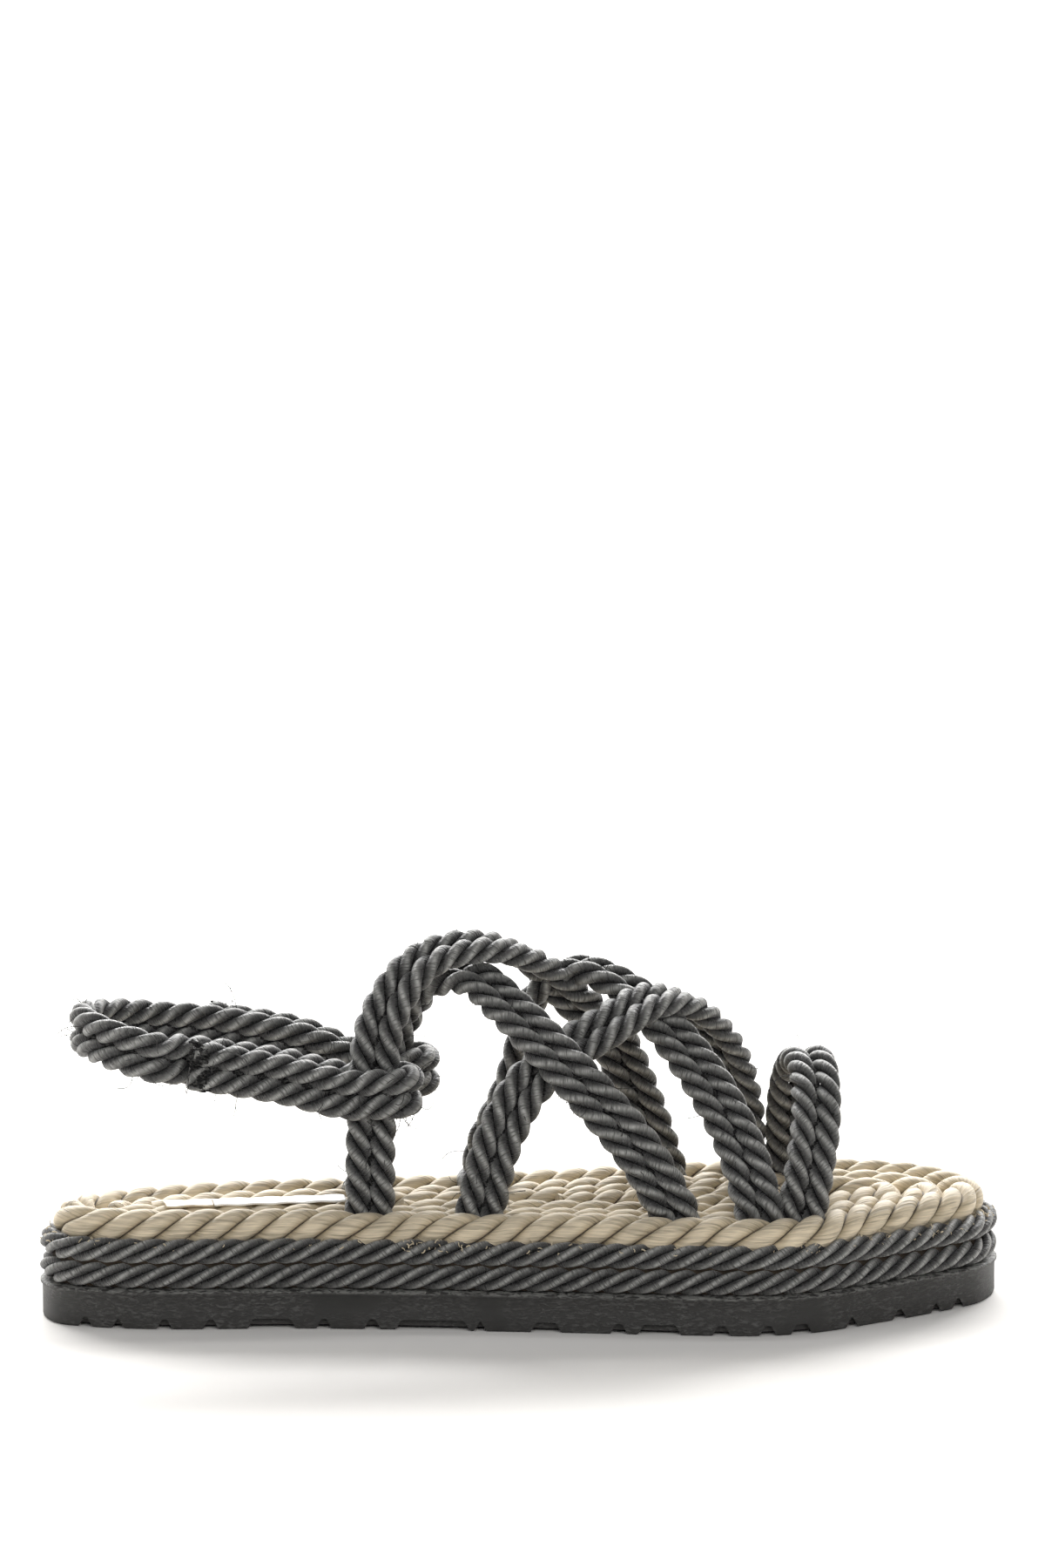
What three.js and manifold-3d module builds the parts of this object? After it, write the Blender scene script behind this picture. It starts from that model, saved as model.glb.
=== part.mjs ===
// Flat rope sandal, right shoe: crossed straps of paired cord, a coiled rope
// footbed, two layers of dark cord round the sole, and a rubber outsole.
// Millimetres, +X to the toe, +Y to the big-toe side, +Z up from the floor.

import * as THREE from "three";
import { mergeVertices } from "three/addons/utils/BufferGeometryUtils.js";
import Module from "manifold-3d";

const wasm = await Module();
wasm.setup();

// Driving dimensions

const soleLength = 256;
const ballWidth = 92;
const clearance = 0.3;

const outsoleThickness = 10.3;
const treadDepth = 2.8;
const lipHeight = 1.4;
const lipStep = 0.6;
const treadChamfer = 0.8;

const trimCordDiameter = 6.3;
const footbedRopeDiameter = 9.4;
const outerRopeDiameter = 9.9;
const ropePitch = 9.9;
const ropeInsetAtEdge = 3.7;
const platformThickness = 2.5;

const strapCordDiameter = 6.5;
const instepHeight = 65.5;
const toeStrapHeight = 34.8;
const slingHeight = 45.7;
const slingOverlap = 48;

const labelWidth = 8;
const labelLength = 35;
const labelTabLength = 12.5;
const labelThickness = 0.9;

// Colours

const rubberBlack = 0x2f2f30;
const cordCharcoal = 0x46484a;
const ropeTan = 0xb4a58c;
const labelWhite = 0xeeeeea;
const tabBeige = 0xcdbfa6;

// Sole outline: share of length from the heel, and each side's reach from the
// long axis as a share of the ball width.

const outlineRows = [
  { along: 0.015, medial: 0.105, lateral: 0.162 },
  { along: 0.04, medial: 0.17, lateral: 0.205 },
  { along: 0.08, medial: 0.228, lateral: 0.242 },
  { along: 0.12, medial: 0.268, lateral: 0.264 },
  { along: 0.18, medial: 0.306, lateral: 0.277 },
  { along: 0.25, medial: 0.328, lateral: 0.286 },
  { along: 0.35, medial: 0.343, lateral: 0.322 },
  { along: 0.45, medial: 0.364, lateral: 0.37 },
  { along: 0.55, medial: 0.41, lateral: 0.42 },
  { along: 0.65, medial: 0.463, lateral: 0.471 },
  { along: 0.73, medial: 0.495, lateral: 0.499 },
  { along: 0.79, medial: 0.501, lateral: 0.464 },
  { along: 0.85, medial: 0.486, lateral: 0.37 },
  { along: 0.9, medial: 0.447, lateral: 0.283 },
  { along: 0.945, medial: 0.372, lateral: 0.195 },
  { along: 0.975, medial: 0.275, lateral: 0.12 },
];
const heelTipAcross = -0.035;
const toeTipAcross = 0.065;

// Tread grooves across the outsole: place along it, and width.

const grooveRows = [
  { along: -0.455, width: 2.5 },
  { along: -0.422, width: 2 },
  { along: -0.375, width: 3 },
  { along: -0.328, width: 3 },
  { along: -0.266, width: 11.4 },
  { along: -0.213, width: 3 },
  { along: -0.164, width: 3.2 },
  { along: -0.103, width: 18 },
  { along: -0.055, width: 2 },
  { along: 0.011, width: 6.8 },
  { along: 0.084, width: 3.4 },
  { along: 0.125, width: 10 },
  { along: 0.187, width: 3.6 },
  { along: 0.234, width: 3.4 },
  { along: 0.269, width: 4.6 },
  { along: 0.324, width: 2.4 },
  { along: 0.378, width: 3 },
  { along: 0.42, width: 2 },
  { along: 0.446, width: 2.5 },
];

// Strap routes over the foot, from the little-toe side to the big-toe side.
// The feet are shares of the length; between them each row is a share of the
// length, of the ball width, and of the strap's height over the footbed.

const instepRoutes = {
  rear: {
    lateralFoot: -0.163,
    medialFoot: 0.159,
    rows: [
      { along: -0.161, across: -0.135, up: 0.4 },
      { along: -0.151, across: -0.087, up: 0.745 },
      { along: -0.109, across: -0.028, up: 0.965 },
      { along: -0.045, across: 0.042, up: 1.013 },
      { along: 0.013, across: 0.129, up: 0.943 },
      { along: 0.056, across: 0.216, up: 0.779 },
      { along: 0.101, across: 0.283, up: 0.573 },
      { along: 0.132, across: 0.315, up: 0.302 },
    ],
  },
  side: {
    lateralFoot: 0.1465,
    medialFoot: -0.161,
    rows: [
      { along: 0.109, across: -0.29, up: 0.252 },
      { along: 0.065, across: -0.251, up: 0.458 },
      { along: 0.023, across: -0.186, up: 0.62 },
      { along: -0.016, across: -0.088, up: 0.766 },
      { along: -0.055, across: 0.028, up: 0.878 },
      { along: -0.096, across: 0.124, up: 0.82 },
      { along: -0.124, across: 0.178, up: 0.608 },
      { along: -0.144, across: 0.199, up: 0.315 },
    ],
  },
  front: {
    lateralFoot: -0.049,
    medialFoot: 0.2425,
    rows: [
      { along: -0.03, across: -0.191, up: 0.269 },
      { along: 0.003, across: -0.154, up: 0.492 },
      { along: 0.045, across: -0.114, up: 0.624 },
      { along: 0.09, across: -0.057, up: 0.713 },
      { along: 0.134, across: 0.028, up: 0.783 },
      { along: 0.176, across: 0.132, up: 0.731 },
      { along: 0.211, across: 0.227, up: 0.557 },
      { along: 0.232, across: 0.303, up: 0.307 },
    ],
  },
  cross: {
    lateralFoot: 0.226,
    medialFoot: -0.038,
    rows: [
      { along: 0.214, across: -0.241, up: 0.24 },
      { along: 0.188, across: -0.12, up: 0.45 },
      { along: 0.155, across: 0.004, up: 0.635 },
      { along: 0.114, across: 0.111, up: 0.812 },
      { along: 0.06, across: 0.189, up: 0.885 },
      { along: 0.02, across: 0.229, up: 0.76 },
      { along: 0.002, across: 0.234, up: 0.499 },
      { along: -0.02, across: 0.23, up: 0.232 },
    ],
  },
};

const toeRoute = {
  lateralFoot: 0.2795,
  medialFoot: 0.2955,
  rows: [
    { along: 0.286, across: -0.292, up: 0.31 },
    { along: 0.294, across: -0.23, up: 0.632 },
    { along: 0.299, across: -0.143, up: 0.862 },
    { along: 0.302, across: -0.036, up: 0.986 },
    { along: 0.301, across: 0.078, up: 0.983 },
    { along: 0.298, across: 0.182, up: 0.845 },
    { along: 0.296, across: 0.261, up: 0.598 },
    { along: 0.2955, across: 0.315, up: 0.285 },
  ],
};

// Heel sling behind its two folds: the turn round the back of the heel, as
// shares of the length, the ball width and the sling's height.

const slingHeelRows = [
  { along: -0.385, across: -0.22, up: 0.925 },
  { along: -0.422, across: -0.175, up: 0.975 },
  { along: -0.446, across: -0.095, up: 1.01 },
  { along: -0.454, across: 0.01, up: 1.015 },
  { along: -0.443, across: 0.11, up: 1.005 },
  { along: -0.413, across: 0.18, up: 0.985 },
  { along: -0.37, across: 0.215, up: 0.95 },
];
const slingFoldHeight = 0.68;
const slingMiddleHeight = { lateral: 0.8, medial: 0.83 };
const slingSeamHeight = { lateral: 0.87, medial: 0.93 };
const slingSeamAcross = { lateral: -0.2, medial: 0.235 };

// Heights worked out from the sizes

const trimCordRadius = trimCordDiameter / 2;
const lowerLayerBottom = outsoleThickness + clearance;
const upperLayerBottom = lowerLayerBottom + trimCordDiameter + clearance;
const platformTop = upperLayerBottom + platformThickness;
const footbedRopeRadius = footbedRopeDiameter / 2;
const outerRopeRadius = outerRopeDiameter / 2;
const innerRopeHeight = platformTop + clearance + footbedRopeRadius;
const outerRopeHeight = innerRopeHeight + 0.6;
const footbedTop = innerRopeHeight + footbedRopeRadius;
const outerRopeInset = ropeInsetAtEdge + outerRopeRadius;
const strapFootInset = outerRopeInset + ropePitch / 2;
const strapFootBottom = platformTop + clearance;

// Outlines and inset lines

function alongX(share) {
  return (share - 0.5) * soleLength;
}

function outlineCurve() {
  const lateral = outlineRows.map(
    (row) => new THREE.Vector3(alongX(row.along), -row.lateral * ballWidth, 0),
  );
  const medial = outlineRows.map(
    (row) => new THREE.Vector3(alongX(row.along), row.medial * ballWidth, 0),
  );
  const heelTip = new THREE.Vector3(-soleLength / 2, heelTipAcross * ballWidth, 0);
  const toeTip = new THREE.Vector3(soleLength / 2, toeTipAcross * ballWidth, 0);
  return new THREE.CatmullRomCurve3([heelTip, ...lateral, toeTip, ...medial.reverse()], true);
}

const outlineSamples = 360;
const outlinePoints = outlineCurve().getSpacedPoints(outlineSamples).slice(0, outlineSamples);

function inwardNormal(points, index) {
  const count = points.length;
  const before = points[(index + count - 1) % count];
  const after = points[(index + 1) % count];
  const along = after.clone().sub(before).normalize();
  return new THREE.Vector3(-along.y, along.x, 0);
}

function distanceToOutline(point) {
  let nearest = Infinity;
  const edge = new THREE.Line3();
  const foot = new THREE.Vector3();
  outlinePoints.forEach((start, index) => {
    edge.set(start, outlinePoints[(index + 1) % outlineSamples]);
    edge.closestPointToPoint(point, true, foot);
    nearest = Math.min(nearest, foot.distanceTo(point));
  });
  return nearest;
}

// The line that runs inside the outline at one distance, its tight ends
// rounded by a few passes of averaging.
function insetLine(inset, count, roundingPasses = 0) {
  const tolerance = 0.02;
  const moved = outlinePoints.map((point, index) =>
    point.clone().addScaledVector(inwardNormal(outlinePoints, index), inset),
  );
  let kept = moved.filter((point) => distanceToOutline(point) > inset - tolerance);
  const even = new THREE.CatmullRomCurve3(kept, true).getSpacedPoints(outlineSamples);
  kept = even.slice(0, outlineSamples);
  for (let pass = 0; pass < roundingPasses; pass += 1) {
    kept = kept.map((point, index) => {
      const before = kept[(index + kept.length - 1) % kept.length];
      const after = kept[(index + 1) % kept.length];
      return point.clone().multiplyScalar(2).add(before).add(after).multiplyScalar(0.25);
    });
  }
  const smooth = new THREE.CatmullRomCurve3(kept, true);
  return smooth.getSpacedPoints(count).slice(0, count);
}

const strapFootLine = insetLine(strapFootInset, outlineSamples);

// The place where a strap enters the footbed: between the outer two ropes,
// at one share of the length, on the lateral (-1) or medial (+1) side.
function strapFoot(share, side) {
  const x = share * soleLength;
  const onSide = strapFootLine.filter((point) => side * point.y > 0);
  onSide.sort((first, second) => Math.abs(first.x - x) - Math.abs(second.x - x));
  return new THREE.Vector3(x, onSide[0].y, strapFootBottom);
}

// Solids from points

function closedGeometry(positions, triangles) {
  const geometry = new THREE.BufferGeometry();
  geometry.setAttribute("position", new THREE.Float32BufferAttribute(positions, 3));
  geometry.setIndex(triangles);
  return geometry;
}

function toManifold(geometry) {
  const bare = geometry.clone();
  bare.deleteAttribute("normal");
  bare.deleteAttribute("uv");
  const merged = mergeVertices(bare);
  return new wasm.Manifold(
    new wasm.Mesh({
      numProp: 3,
      vertProperties: new Float32Array(merged.getAttribute("position").array),
      triVerts: new Uint32Array(merged.index.array),
    }),
  );
}

function fromManifold(solid) {
  const mesh = solid.getMesh();
  const positions = [];
  for (let vertex = 0; vertex < mesh.numVert; vertex += 1) {
    const start = vertex * mesh.numProp;
    positions.push(...mesh.vertProperties.slice(start, start + 3));
  }
  return closedGeometry(positions, Array.from(mesh.triVerts));
}

// A stack of closed rings, each an inset line at its own height, with flat
// ends; every ring has the same number of points.
function ringStack(rings, count) {
  const positions = [];
  const triangles = [];
  rings.forEach(({ inset, height }) => {
    const line = outlinePoints
      .filter((point, index) => index % (outlineSamples / count) === 0)
      .map((point, index) => {
        const normal = inwardNormal(outlinePoints, index * (outlineSamples / count));
        return point.clone().addScaledVector(normal, inset);
      });
    line.forEach((point) => positions.push(point.x, point.y, height));
  });
  for (let ring = 0; ring + 1 < rings.length; ring += 1) {
    for (let index = 0; index < count; index += 1) {
      const next = (index + 1) % count;
      const low = ring * count;
      const high = low + count;
      triangles.push(low + index, low + next, high + next);
      triangles.push(low + index, high + next, high + index);
    }
  }
  const contour = [];
  for (let index = 0; index < count; index += 1) {
    contour.push(new THREE.Vector2(positions[3 * index], positions[3 * index + 1]));
  }
  const top = (rings.length - 1) * count;
  THREE.ShapeUtils.triangulateShape(contour, []).forEach(([a, b, c]) => {
    triangles.push(c, b, a);
    triangles.push(top + a, top + b, top + c);
  });
  return closedGeometry(positions, triangles);
}

// A section carried along points. Each section point is { across, out };
// widthDirection gives the section's across direction at a point.
function sweep(points, widthDirection, section, closed = false) {
  const count = points.length;
  const positions = [];
  const triangles = [];
  const sides = section(0).length;
  points.forEach((point, index) => {
    const before = closed ? points[(index + count - 1) % count] : points[Math.max(index - 1, 0)];
    const after = closed ? points[(index + 1) % count] : points[Math.min(index + 1, count - 1)];
    const along = after.clone().sub(before).normalize();
    const width = widthDirection(point, along);
    const out = width.clone().cross(along).normalize();
    section(index).forEach((corner) => {
      const place = point.clone().addScaledVector(width, corner.across);
      place.addScaledVector(out, corner.out);
      positions.push(place.x, place.y, place.z);
    });
  });
  const spans = closed ? count : count - 1;
  for (let span = 0; span < spans; span += 1) {
    const here = span * sides;
    const there = ((span + 1) % count) * sides;
    for (let side = 0; side < sides; side += 1) {
      const next = (side + 1) % sides;
      triangles.push(here + side, there + next, here + next);
      triangles.push(here + side, there + side, there + next);
    }
  }
  if (!closed) {
    [points[0], points[count - 1]].forEach((point) => positions.push(point.x, point.y, point.z));
    const firstCentre = count * sides;
    const lastRing = (count - 1) * sides;
    for (let side = 0; side < sides; side += 1) {
      const next = (side + 1) % sides;
      triangles.push(firstCentre, side, next);
      triangles.push(firstCentre + 1, lastRing + next, lastRing + side);
    }
  }
  return closedGeometry(positions, triangles);
}

// Sections

function roundSection(width, height, sides, pressed = 1) {
  const corners = [];
  for (let side = 0; side < sides; side += 1) {
    const angle = (side / sides) * 2 * Math.PI;
    const lowOuter = Math.cos(angle) > 0.5 && Math.sin(angle) < -0.5;
    const share = lowOuter ? pressed : 1;
    corners.push({
      across: (Math.cos(angle) * width * share) / 2,
      out: (Math.sin(angle) * height * share) / 2,
    });
  }
  return corners;
}

// Two cords side by side, sewn together, in twelve corners.
function bandSection(grow = 0) {
  const radius = strapCordDiameter / 2 + grow;
  const centre = strapCordDiameter / 2;
  const halfTurn = [
    { across: centre + radius, out: 0 },
    { across: centre + 0.55 * radius, out: 0.86 * radius },
    { across: centre - 0.5 * radius, out: 0.86 * radius },
    { across: 0, out: 0.52 * radius },
    { across: -centre + 0.5 * radius, out: 0.86 * radius },
    { across: -centre - 0.55 * radius, out: 0.86 * radius },
  ];
  return [...halfTurn, ...halfTurn.map(({ across, out }) => ({ across: -across, out: -out }))];
}

// Width directions for the sweeps

const vertical = new THREE.Vector3(0, 0, 1);

function outwardInPlan(point, along) {
  return along.clone().cross(vertical).normalize();
}

// A strap lies flat on the foot, which runs along this axis.
const footAxisAcross = 0.2 * ballWidth;
const footAxisHeight = footbedTop + 0.15 * instepHeight;

function flatOnFoot(point, along) {
  const out = new THREE.Vector3(0, point.y - footAxisAcross, point.z - footAxisHeight);
  return out.cross(along).normalize().negate();
}

function standingUp(point, along) {
  return vertical.clone().addScaledVector(along, -along.z).normalize();
}

// Straps

const strapStep = 7.4;
const slingStep = 6.6;
const pocketPoints = 3;

function spaced(points, step) {
  const curve = new THREE.CatmullRomCurve3(points, false, "centripetal");
  return curve.getSpacedPoints(Math.round(curve.getLength() / step));
}

// A strap's middle line: straight up through the footbed at both ends.
function strapLine(route, height) {
  const between = route.rows.map(
    (row) =>
      new THREE.Vector3(
        row.along * soleLength,
        row.across * ballWidth,
        footbedTop + row.up * height,
      ),
  );
  const lateral = strapFoot(route.lateralFoot, -1);
  const medial = strapFoot(route.medialFoot, 1);
  const risen = (foot) => foot.clone().setZ(footbedTop);
  const over = spaced([risen(lateral), ...between, risen(medial)], strapStep);
  return [lateral, ...over, medial];
}

function band(points, grow = 0) {
  return toManifold(sweep(points, flatOnFoot, () => bandSection(grow)));
}

// The space that the feet of a strap take in the footbed.
function pockets(points) {
  const below = new THREE.Vector3(0, 0, -clearance);
  const ends = [points.slice(0, pocketPoints), points.slice(-pocketPoints).reverse()];
  return ends.map((end) => {
    const deeper = end.map((point) => point.clone());
    deeper[0].add(below);
    return band(deeper, clearance);
  });
}

const instepLines = Object.values(instepRoutes).map((route) => strapLine(route, instepHeight));
const toeLine = strapLine(toeRoute, toeStrapHeight);
const strapPockets = [...instepLines, toeLine].flatMap(pockets);

// Heel sling: from its sewn end, round the strap's upright, back along its
// own inside, round the heel, and the same on the other side.

const foldRadius = strapCordDiameter + clearance;

function placeOnLine(line, height, startAtMedial) {
  const ordered = startAtMedial ? [...line].reverse() : line;
  return ordered.find((point) => point.z >= height);
}

function foldAround(upright, side) {
  const height = upright.z;
  const reach = strapCordDiameter / 2;
  const rows = [
    { along: -2.2 * reach, across: 1 },
    { along: 0, across: 1 },
    { along: reach, across: 1 },
    { along: reach + 0.707 * foldRadius, across: 0.707 },
    { along: reach + foldRadius, across: 0 },
    { along: reach + 0.707 * foldRadius, across: -0.707 },
    { along: reach, across: -1 },
    { along: 0, across: -1 },
    { along: -2.2 * reach, across: -1 },
  ];
  return rows.map(
    ({ along, across }) =>
      new THREE.Vector3(upright.x + along, upright.y + side * across * foldRadius, height),
  );
}

function slingLine() {
  const foldHeight = footbedTop + slingFoldHeight * slingHeight;
  const lateralUpright = placeOnLine(instepLines[0], foldHeight, false);
  const medialUpright = placeOnLine(instepLines[1], foldHeight, true);
  const lateralFold = foldAround(lateralUpright.clone().setZ(foldHeight), -1);
  const medialFold = foldAround(medialUpright.clone().setZ(foldHeight), 1).reverse();
  const seam = (upright, side, layer) =>
    new THREE.Vector3(
      upright.x - slingOverlap,
      slingSeamAcross[side] * ballWidth + layer * foldRadius,
      footbedTop + slingSeamHeight[side] * slingHeight,
    );
  // Halfway from a fold to its sewn end, where the sling hangs nearly straight.
  const middle = (upright, side, layer) => {
    const atFold = upright.y + 2 * layer * foldRadius;
    return new THREE.Vector3(
      upright.x - slingOverlap / 2,
      (atFold + seam(upright, side, layer).y) / 2,
      footbedTop + slingMiddleHeight[side] * slingHeight,
    );
  };
  const heel = slingHeelRows.map(
    (row) =>
      new THREE.Vector3(
        row.along * soleLength,
        row.across * ballWidth,
        footbedTop + row.up * slingHeight,
      ),
  );
  return spaced(
    [
      seam(lateralUpright, "lateral", -0.5),
      middle(lateralUpright, "lateral", -0.5),
      ...lateralFold,
      middle(lateralUpright, "lateral", 0.5),
      seam(lateralUpright, "lateral", 0.5),
      ...heel,
      seam(medialUpright, "medial", -0.5),
      middle(medialUpright, "medial", -0.5),
      ...medialFold,
      middle(medialUpright, "medial", 0.5),
      seam(medialUpright, "medial", 0.5),
    ],
    slingStep,
  );
}

// The sling, hollowed where it lies against the two uprights.
function heelSling() {
  const loop = toManifold(sweep(slingLine(), standingUp, () => bandSection()));
  const uprights = instepLines.slice(0, 2).map((line) => band(line, clearance));
  return uprights.reduce((whole, upright) => whole.subtract(upright), loop);
}

function joined(solids) {
  return solids.slice(1).reduce((whole, solid) => whole.add(solid), solids[0]);
}

// Footbed: two whole turns of rope, a third that runs back along the heel,
// and the bent start of the rope in the middle of the forefoot.

const ropeSides = 8;

function rope(line, grow = 0) {
  const { points, width, height, closed, pressed } = line;
  const section = () => roundSection(width + 2 * grow, height + 2 * grow, ropeSides, pressed);
  return toManifold(sweep(points, outwardInPlan, section, closed));
}

// A rope with room cut for the straps' feet, pressed flat by ropes laid
// before it.
function laidRope(line, neighbours = []) {
  const room = [...strapPockets, ...neighbours.map((other) => rope(other, clearance))];
  return room.reduce((whole, taken) => whole.subtract(taken), rope(line));
}

function atHeight(points, height) {
  return points.map((point) => new THREE.Vector3(point.x, point.y, height));
}

function centreAcross(x) {
  const lateral = strapFootLine.filter((point) => point.y < 0);
  const medial = strapFootLine.filter((point) => point.y > 0);
  const nearest = (side) =>
    side.reduce((best, point) => (Math.abs(point.x - x) < Math.abs(best.x - x) ? point : best));
  return (nearest(lateral).y + nearest(medial).y) / 2;
}

const outerTurn = {
  points: atHeight(insetLine(outerRopeInset, 56), outerRopeHeight),
  width: outerRopeDiameter,
  height: outerRopeDiameter,
  closed: true,
  pressed: 0.88,
};

const secondTurn = {
  points: atHeight(insetLine(outerRopeInset + ropePitch, 44, 3), innerRopeHeight),
  width: footbedRopeDiameter,
  height: footbedRopeDiameter,
  closed: true,
  pressed: 1,
};

// The third turn leaves its inset line here; behind it the big-toe leg runs
// on to the heel, and the other ends beside it.
const thirdTurnStart = -0.02;
const besideCentre = ropePitch / 2 / ballWidth;
const thirdTurnLateralEnd = [
  { along: -0.125, across: -besideCentre },
  { along: -0.06, across: -besideCentre },
];
const thirdTurnMedialTail = [
  { along: -0.06, across: besideCentre },
  { along: -0.125, across: besideCentre },
  { along: -0.17, across: 0.4 * besideCentre },
  { along: -0.21, across: 0 },
  { along: -0.3, across: 0 },
  { along: -0.385, across: 0 },
];

function centrePoint({ along, across }) {
  const x = along * soleLength;
  return new THREE.Vector3(x, centreAcross(x) + across * ballWidth, innerRopeHeight);
}

function thirdTurnRoute() {
  const line = insetLine(outerRopeInset + 2 * ropePitch, 60, 6);
  const forefoot = line.filter((point) => point.x > thirdTurnStart * soleLength);
  const route = [
    ...thirdTurnLateralEnd.map(centrePoint),
    ...atHeight(forefoot, innerRopeHeight),
    ...thirdTurnMedialTail.map(centrePoint),
  ];
  return spaced(route, 9);
}

const thirdTurn = {
  points: thirdTurnRoute(),
  width: footbedRopeDiameter,
  height: footbedRopeDiameter,
  closed: false,
  pressed: 1,
};

// The bent start of the rope: a leg up the middle, a half turn behind the
// toes, and a shorter leg back.
const coreStart = 0.037;
const coreFork = 0.12;
const coreTurn = 0.285;

function ropeCoreRoute() {
  const half = ropePitch / 2;
  const turnX = coreTurn * soleLength;
  const turnY = centreAcross(turnX);
  const turn = [-60, -30, 0, 30, 60].map((degrees) => {
    const angle = THREE.MathUtils.degToRad(degrees);
    return new THREE.Vector3(
      turnX + half * Math.cos(angle),
      turnY - half * Math.sin(angle),
      innerRopeHeight,
    );
  });
  const route = [
    centrePoint({ along: coreStart, across: 0 }),
    centrePoint({ along: 0.5 * (coreStart + coreFork), across: 0.4 * besideCentre }),
    centrePoint({ along: coreFork, across: besideCentre }),
    centrePoint({ along: coreTurn - 0.02, across: besideCentre }),
    ...turn,
    centrePoint({ along: coreTurn - 0.02, across: -besideCentre }),
    centrePoint({ along: coreFork, across: -besideCentre }),
  ];
  return spaced(route, 6);
}

const ropeCore = {
  points: ropeCoreRoute(),
  width: footbedRopeDiameter,
  height: footbedRopeDiameter,
  closed: false,
  pressed: 1,
};

// Sole

const ringPoints = 60;

function outsole() {
  const rings = [
    { inset: lipStep + treadChamfer, height: 0 },
    { inset: lipStep, height: treadChamfer },
    { inset: lipStep, height: outsoleThickness - lipHeight },
    { inset: 0, height: outsoleThickness - lipHeight + 0.3 },
    { inset: 0, height: outsoleThickness },
  ];
  const grooves = grooveRows.map(({ along, width }) => {
    const box = new THREE.BoxGeometry(width, 2 * ballWidth, 2 * treadDepth);
    box.translate(along * soleLength, 0, 0);
    return toManifold(box);
  });
  const body = toManifold(ringStack(rings, ringPoints));
  return grooves.reduce((whole, groove) => whole.subtract(groove), body);
}

function cordEdge(bottom, angles) {
  return angles.map((degrees) => {
    const angle = THREE.MathUtils.degToRad(degrees);
    return {
      inset: trimCordRadius * (1 - Math.cos(angle)),
      height: bottom + trimCordRadius * (1 + Math.sin(angle)),
    };
  });
}

function lowerLayer() {
  return ringStack(cordEdge(lowerLayerBottom, [-90, -45, 0, 45, 90]), ringPoints);
}

// The upper layer's cord stands above its plate, pressed in by the rope.
function upperLayer() {
  const pressed = 0.6 * trimCordRadius;
  const middle = upperLayerBottom + trimCordRadius;
  const rings = [
    ...cordEdge(upperLayerBottom, [-90, -45, 0, 45, 90]),
    { inset: trimCordRadius + pressed, height: middle + pressed },
    { inset: trimCordDiameter, height: platformTop },
  ];
  return ringStack(rings, ringPoints);
}

// Label

const labelTurn = THREE.MathUtils.degToRad(5);
const labelCentre = { along: -0.254, across: -0.04 };

function labelPiece(length, offset) {
  const box = new THREE.BoxGeometry(length, labelWidth, labelThickness);
  box.translate(offset, 0, footbedTop + clearance + labelThickness / 2);
  box.rotateZ(labelTurn);
  box.translate(labelCentre.along * soleLength, labelCentre.across * ballWidth, 0);
  return box;
}

// Assembly

function mesh(name, geometry, colour, roughness) {
  const material = new THREE.MeshStandardMaterial({ color: colour, roughness, metalness: 0 });
  const piece = new THREE.Mesh(geometry, material);
  piece.name = name;
  return piece;
}

const tabOffset = -(labelLength + labelTabLength) / 2 - clearance;
const sandal = new THREE.Group();
sandal.add(
  mesh("outsole", fromManifold(outsole()), rubberBlack, 0.85),
  mesh("midsole_lower_cord_layer", lowerLayer(), cordCharcoal, 0.9),
  mesh("midsole_upper_cord_layer", upperLayer(), cordCharcoal, 0.9),
  mesh("footbed_rope_outer_turn", fromManifold(laidRope(outerTurn)), ropeTan, 0.95),
  mesh("footbed_rope_second_turn", fromManifold(laidRope(secondTurn)), ropeTan, 0.95),
  mesh("footbed_rope_third_turn", fromManifold(laidRope(thirdTurn, [secondTurn])), ropeTan, 0.95),
  mesh("footbed_rope_core", fromManifold(laidRope(ropeCore, [thirdTurn])), ropeTan, 0.95),
  mesh("label_strip", labelPiece(labelLength, 0), labelWhite, 0.8),
  mesh("label_tab", labelPiece(labelTabLength, tabOffset), tabBeige, 0.85),
  mesh("upper_instep_straps", fromManifold(joined(instepLines.map((line) => band(line)))), cordCharcoal, 0.9),
  mesh("upper_toe_strap", fromManifold(band(toeLine)), cordCharcoal, 0.9),
  mesh("upper_heel_sling", fromManifold(heelSling()), cordCharcoal, 0.9),
);

export default sandal;
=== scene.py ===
"""Flat rope sandal, right shoe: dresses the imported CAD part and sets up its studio.

Metres, +X to the toe, +Y to the big-toe side, +Z up from the floor.
"""

import math

import bmesh
import bpy
import numpy as np
from mathutils import Matrix, Vector


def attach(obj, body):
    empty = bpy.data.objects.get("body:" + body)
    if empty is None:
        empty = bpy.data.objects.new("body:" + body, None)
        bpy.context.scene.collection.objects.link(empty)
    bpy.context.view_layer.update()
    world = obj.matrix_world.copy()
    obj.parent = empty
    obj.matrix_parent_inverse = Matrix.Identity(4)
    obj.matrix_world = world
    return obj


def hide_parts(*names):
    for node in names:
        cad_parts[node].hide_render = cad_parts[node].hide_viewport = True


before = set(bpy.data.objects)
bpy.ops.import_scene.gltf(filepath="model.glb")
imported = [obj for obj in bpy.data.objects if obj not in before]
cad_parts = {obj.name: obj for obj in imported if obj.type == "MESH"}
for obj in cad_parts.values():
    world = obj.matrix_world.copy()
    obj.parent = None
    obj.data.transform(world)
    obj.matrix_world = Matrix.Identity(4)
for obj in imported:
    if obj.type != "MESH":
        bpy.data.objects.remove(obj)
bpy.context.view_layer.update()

bl_info = {
    "name": "Rope Sandal",
    "version": (1, 0, 0),
    "blender": (4, 5, 0),
    "location": "View3D > Sidebar > Rope Sandal",
    "description": "Builds a flat sandal of laid rope and sewn cord round its packed solids",
    "category": "Add Mesh",
}

MM = 0.001


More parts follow.
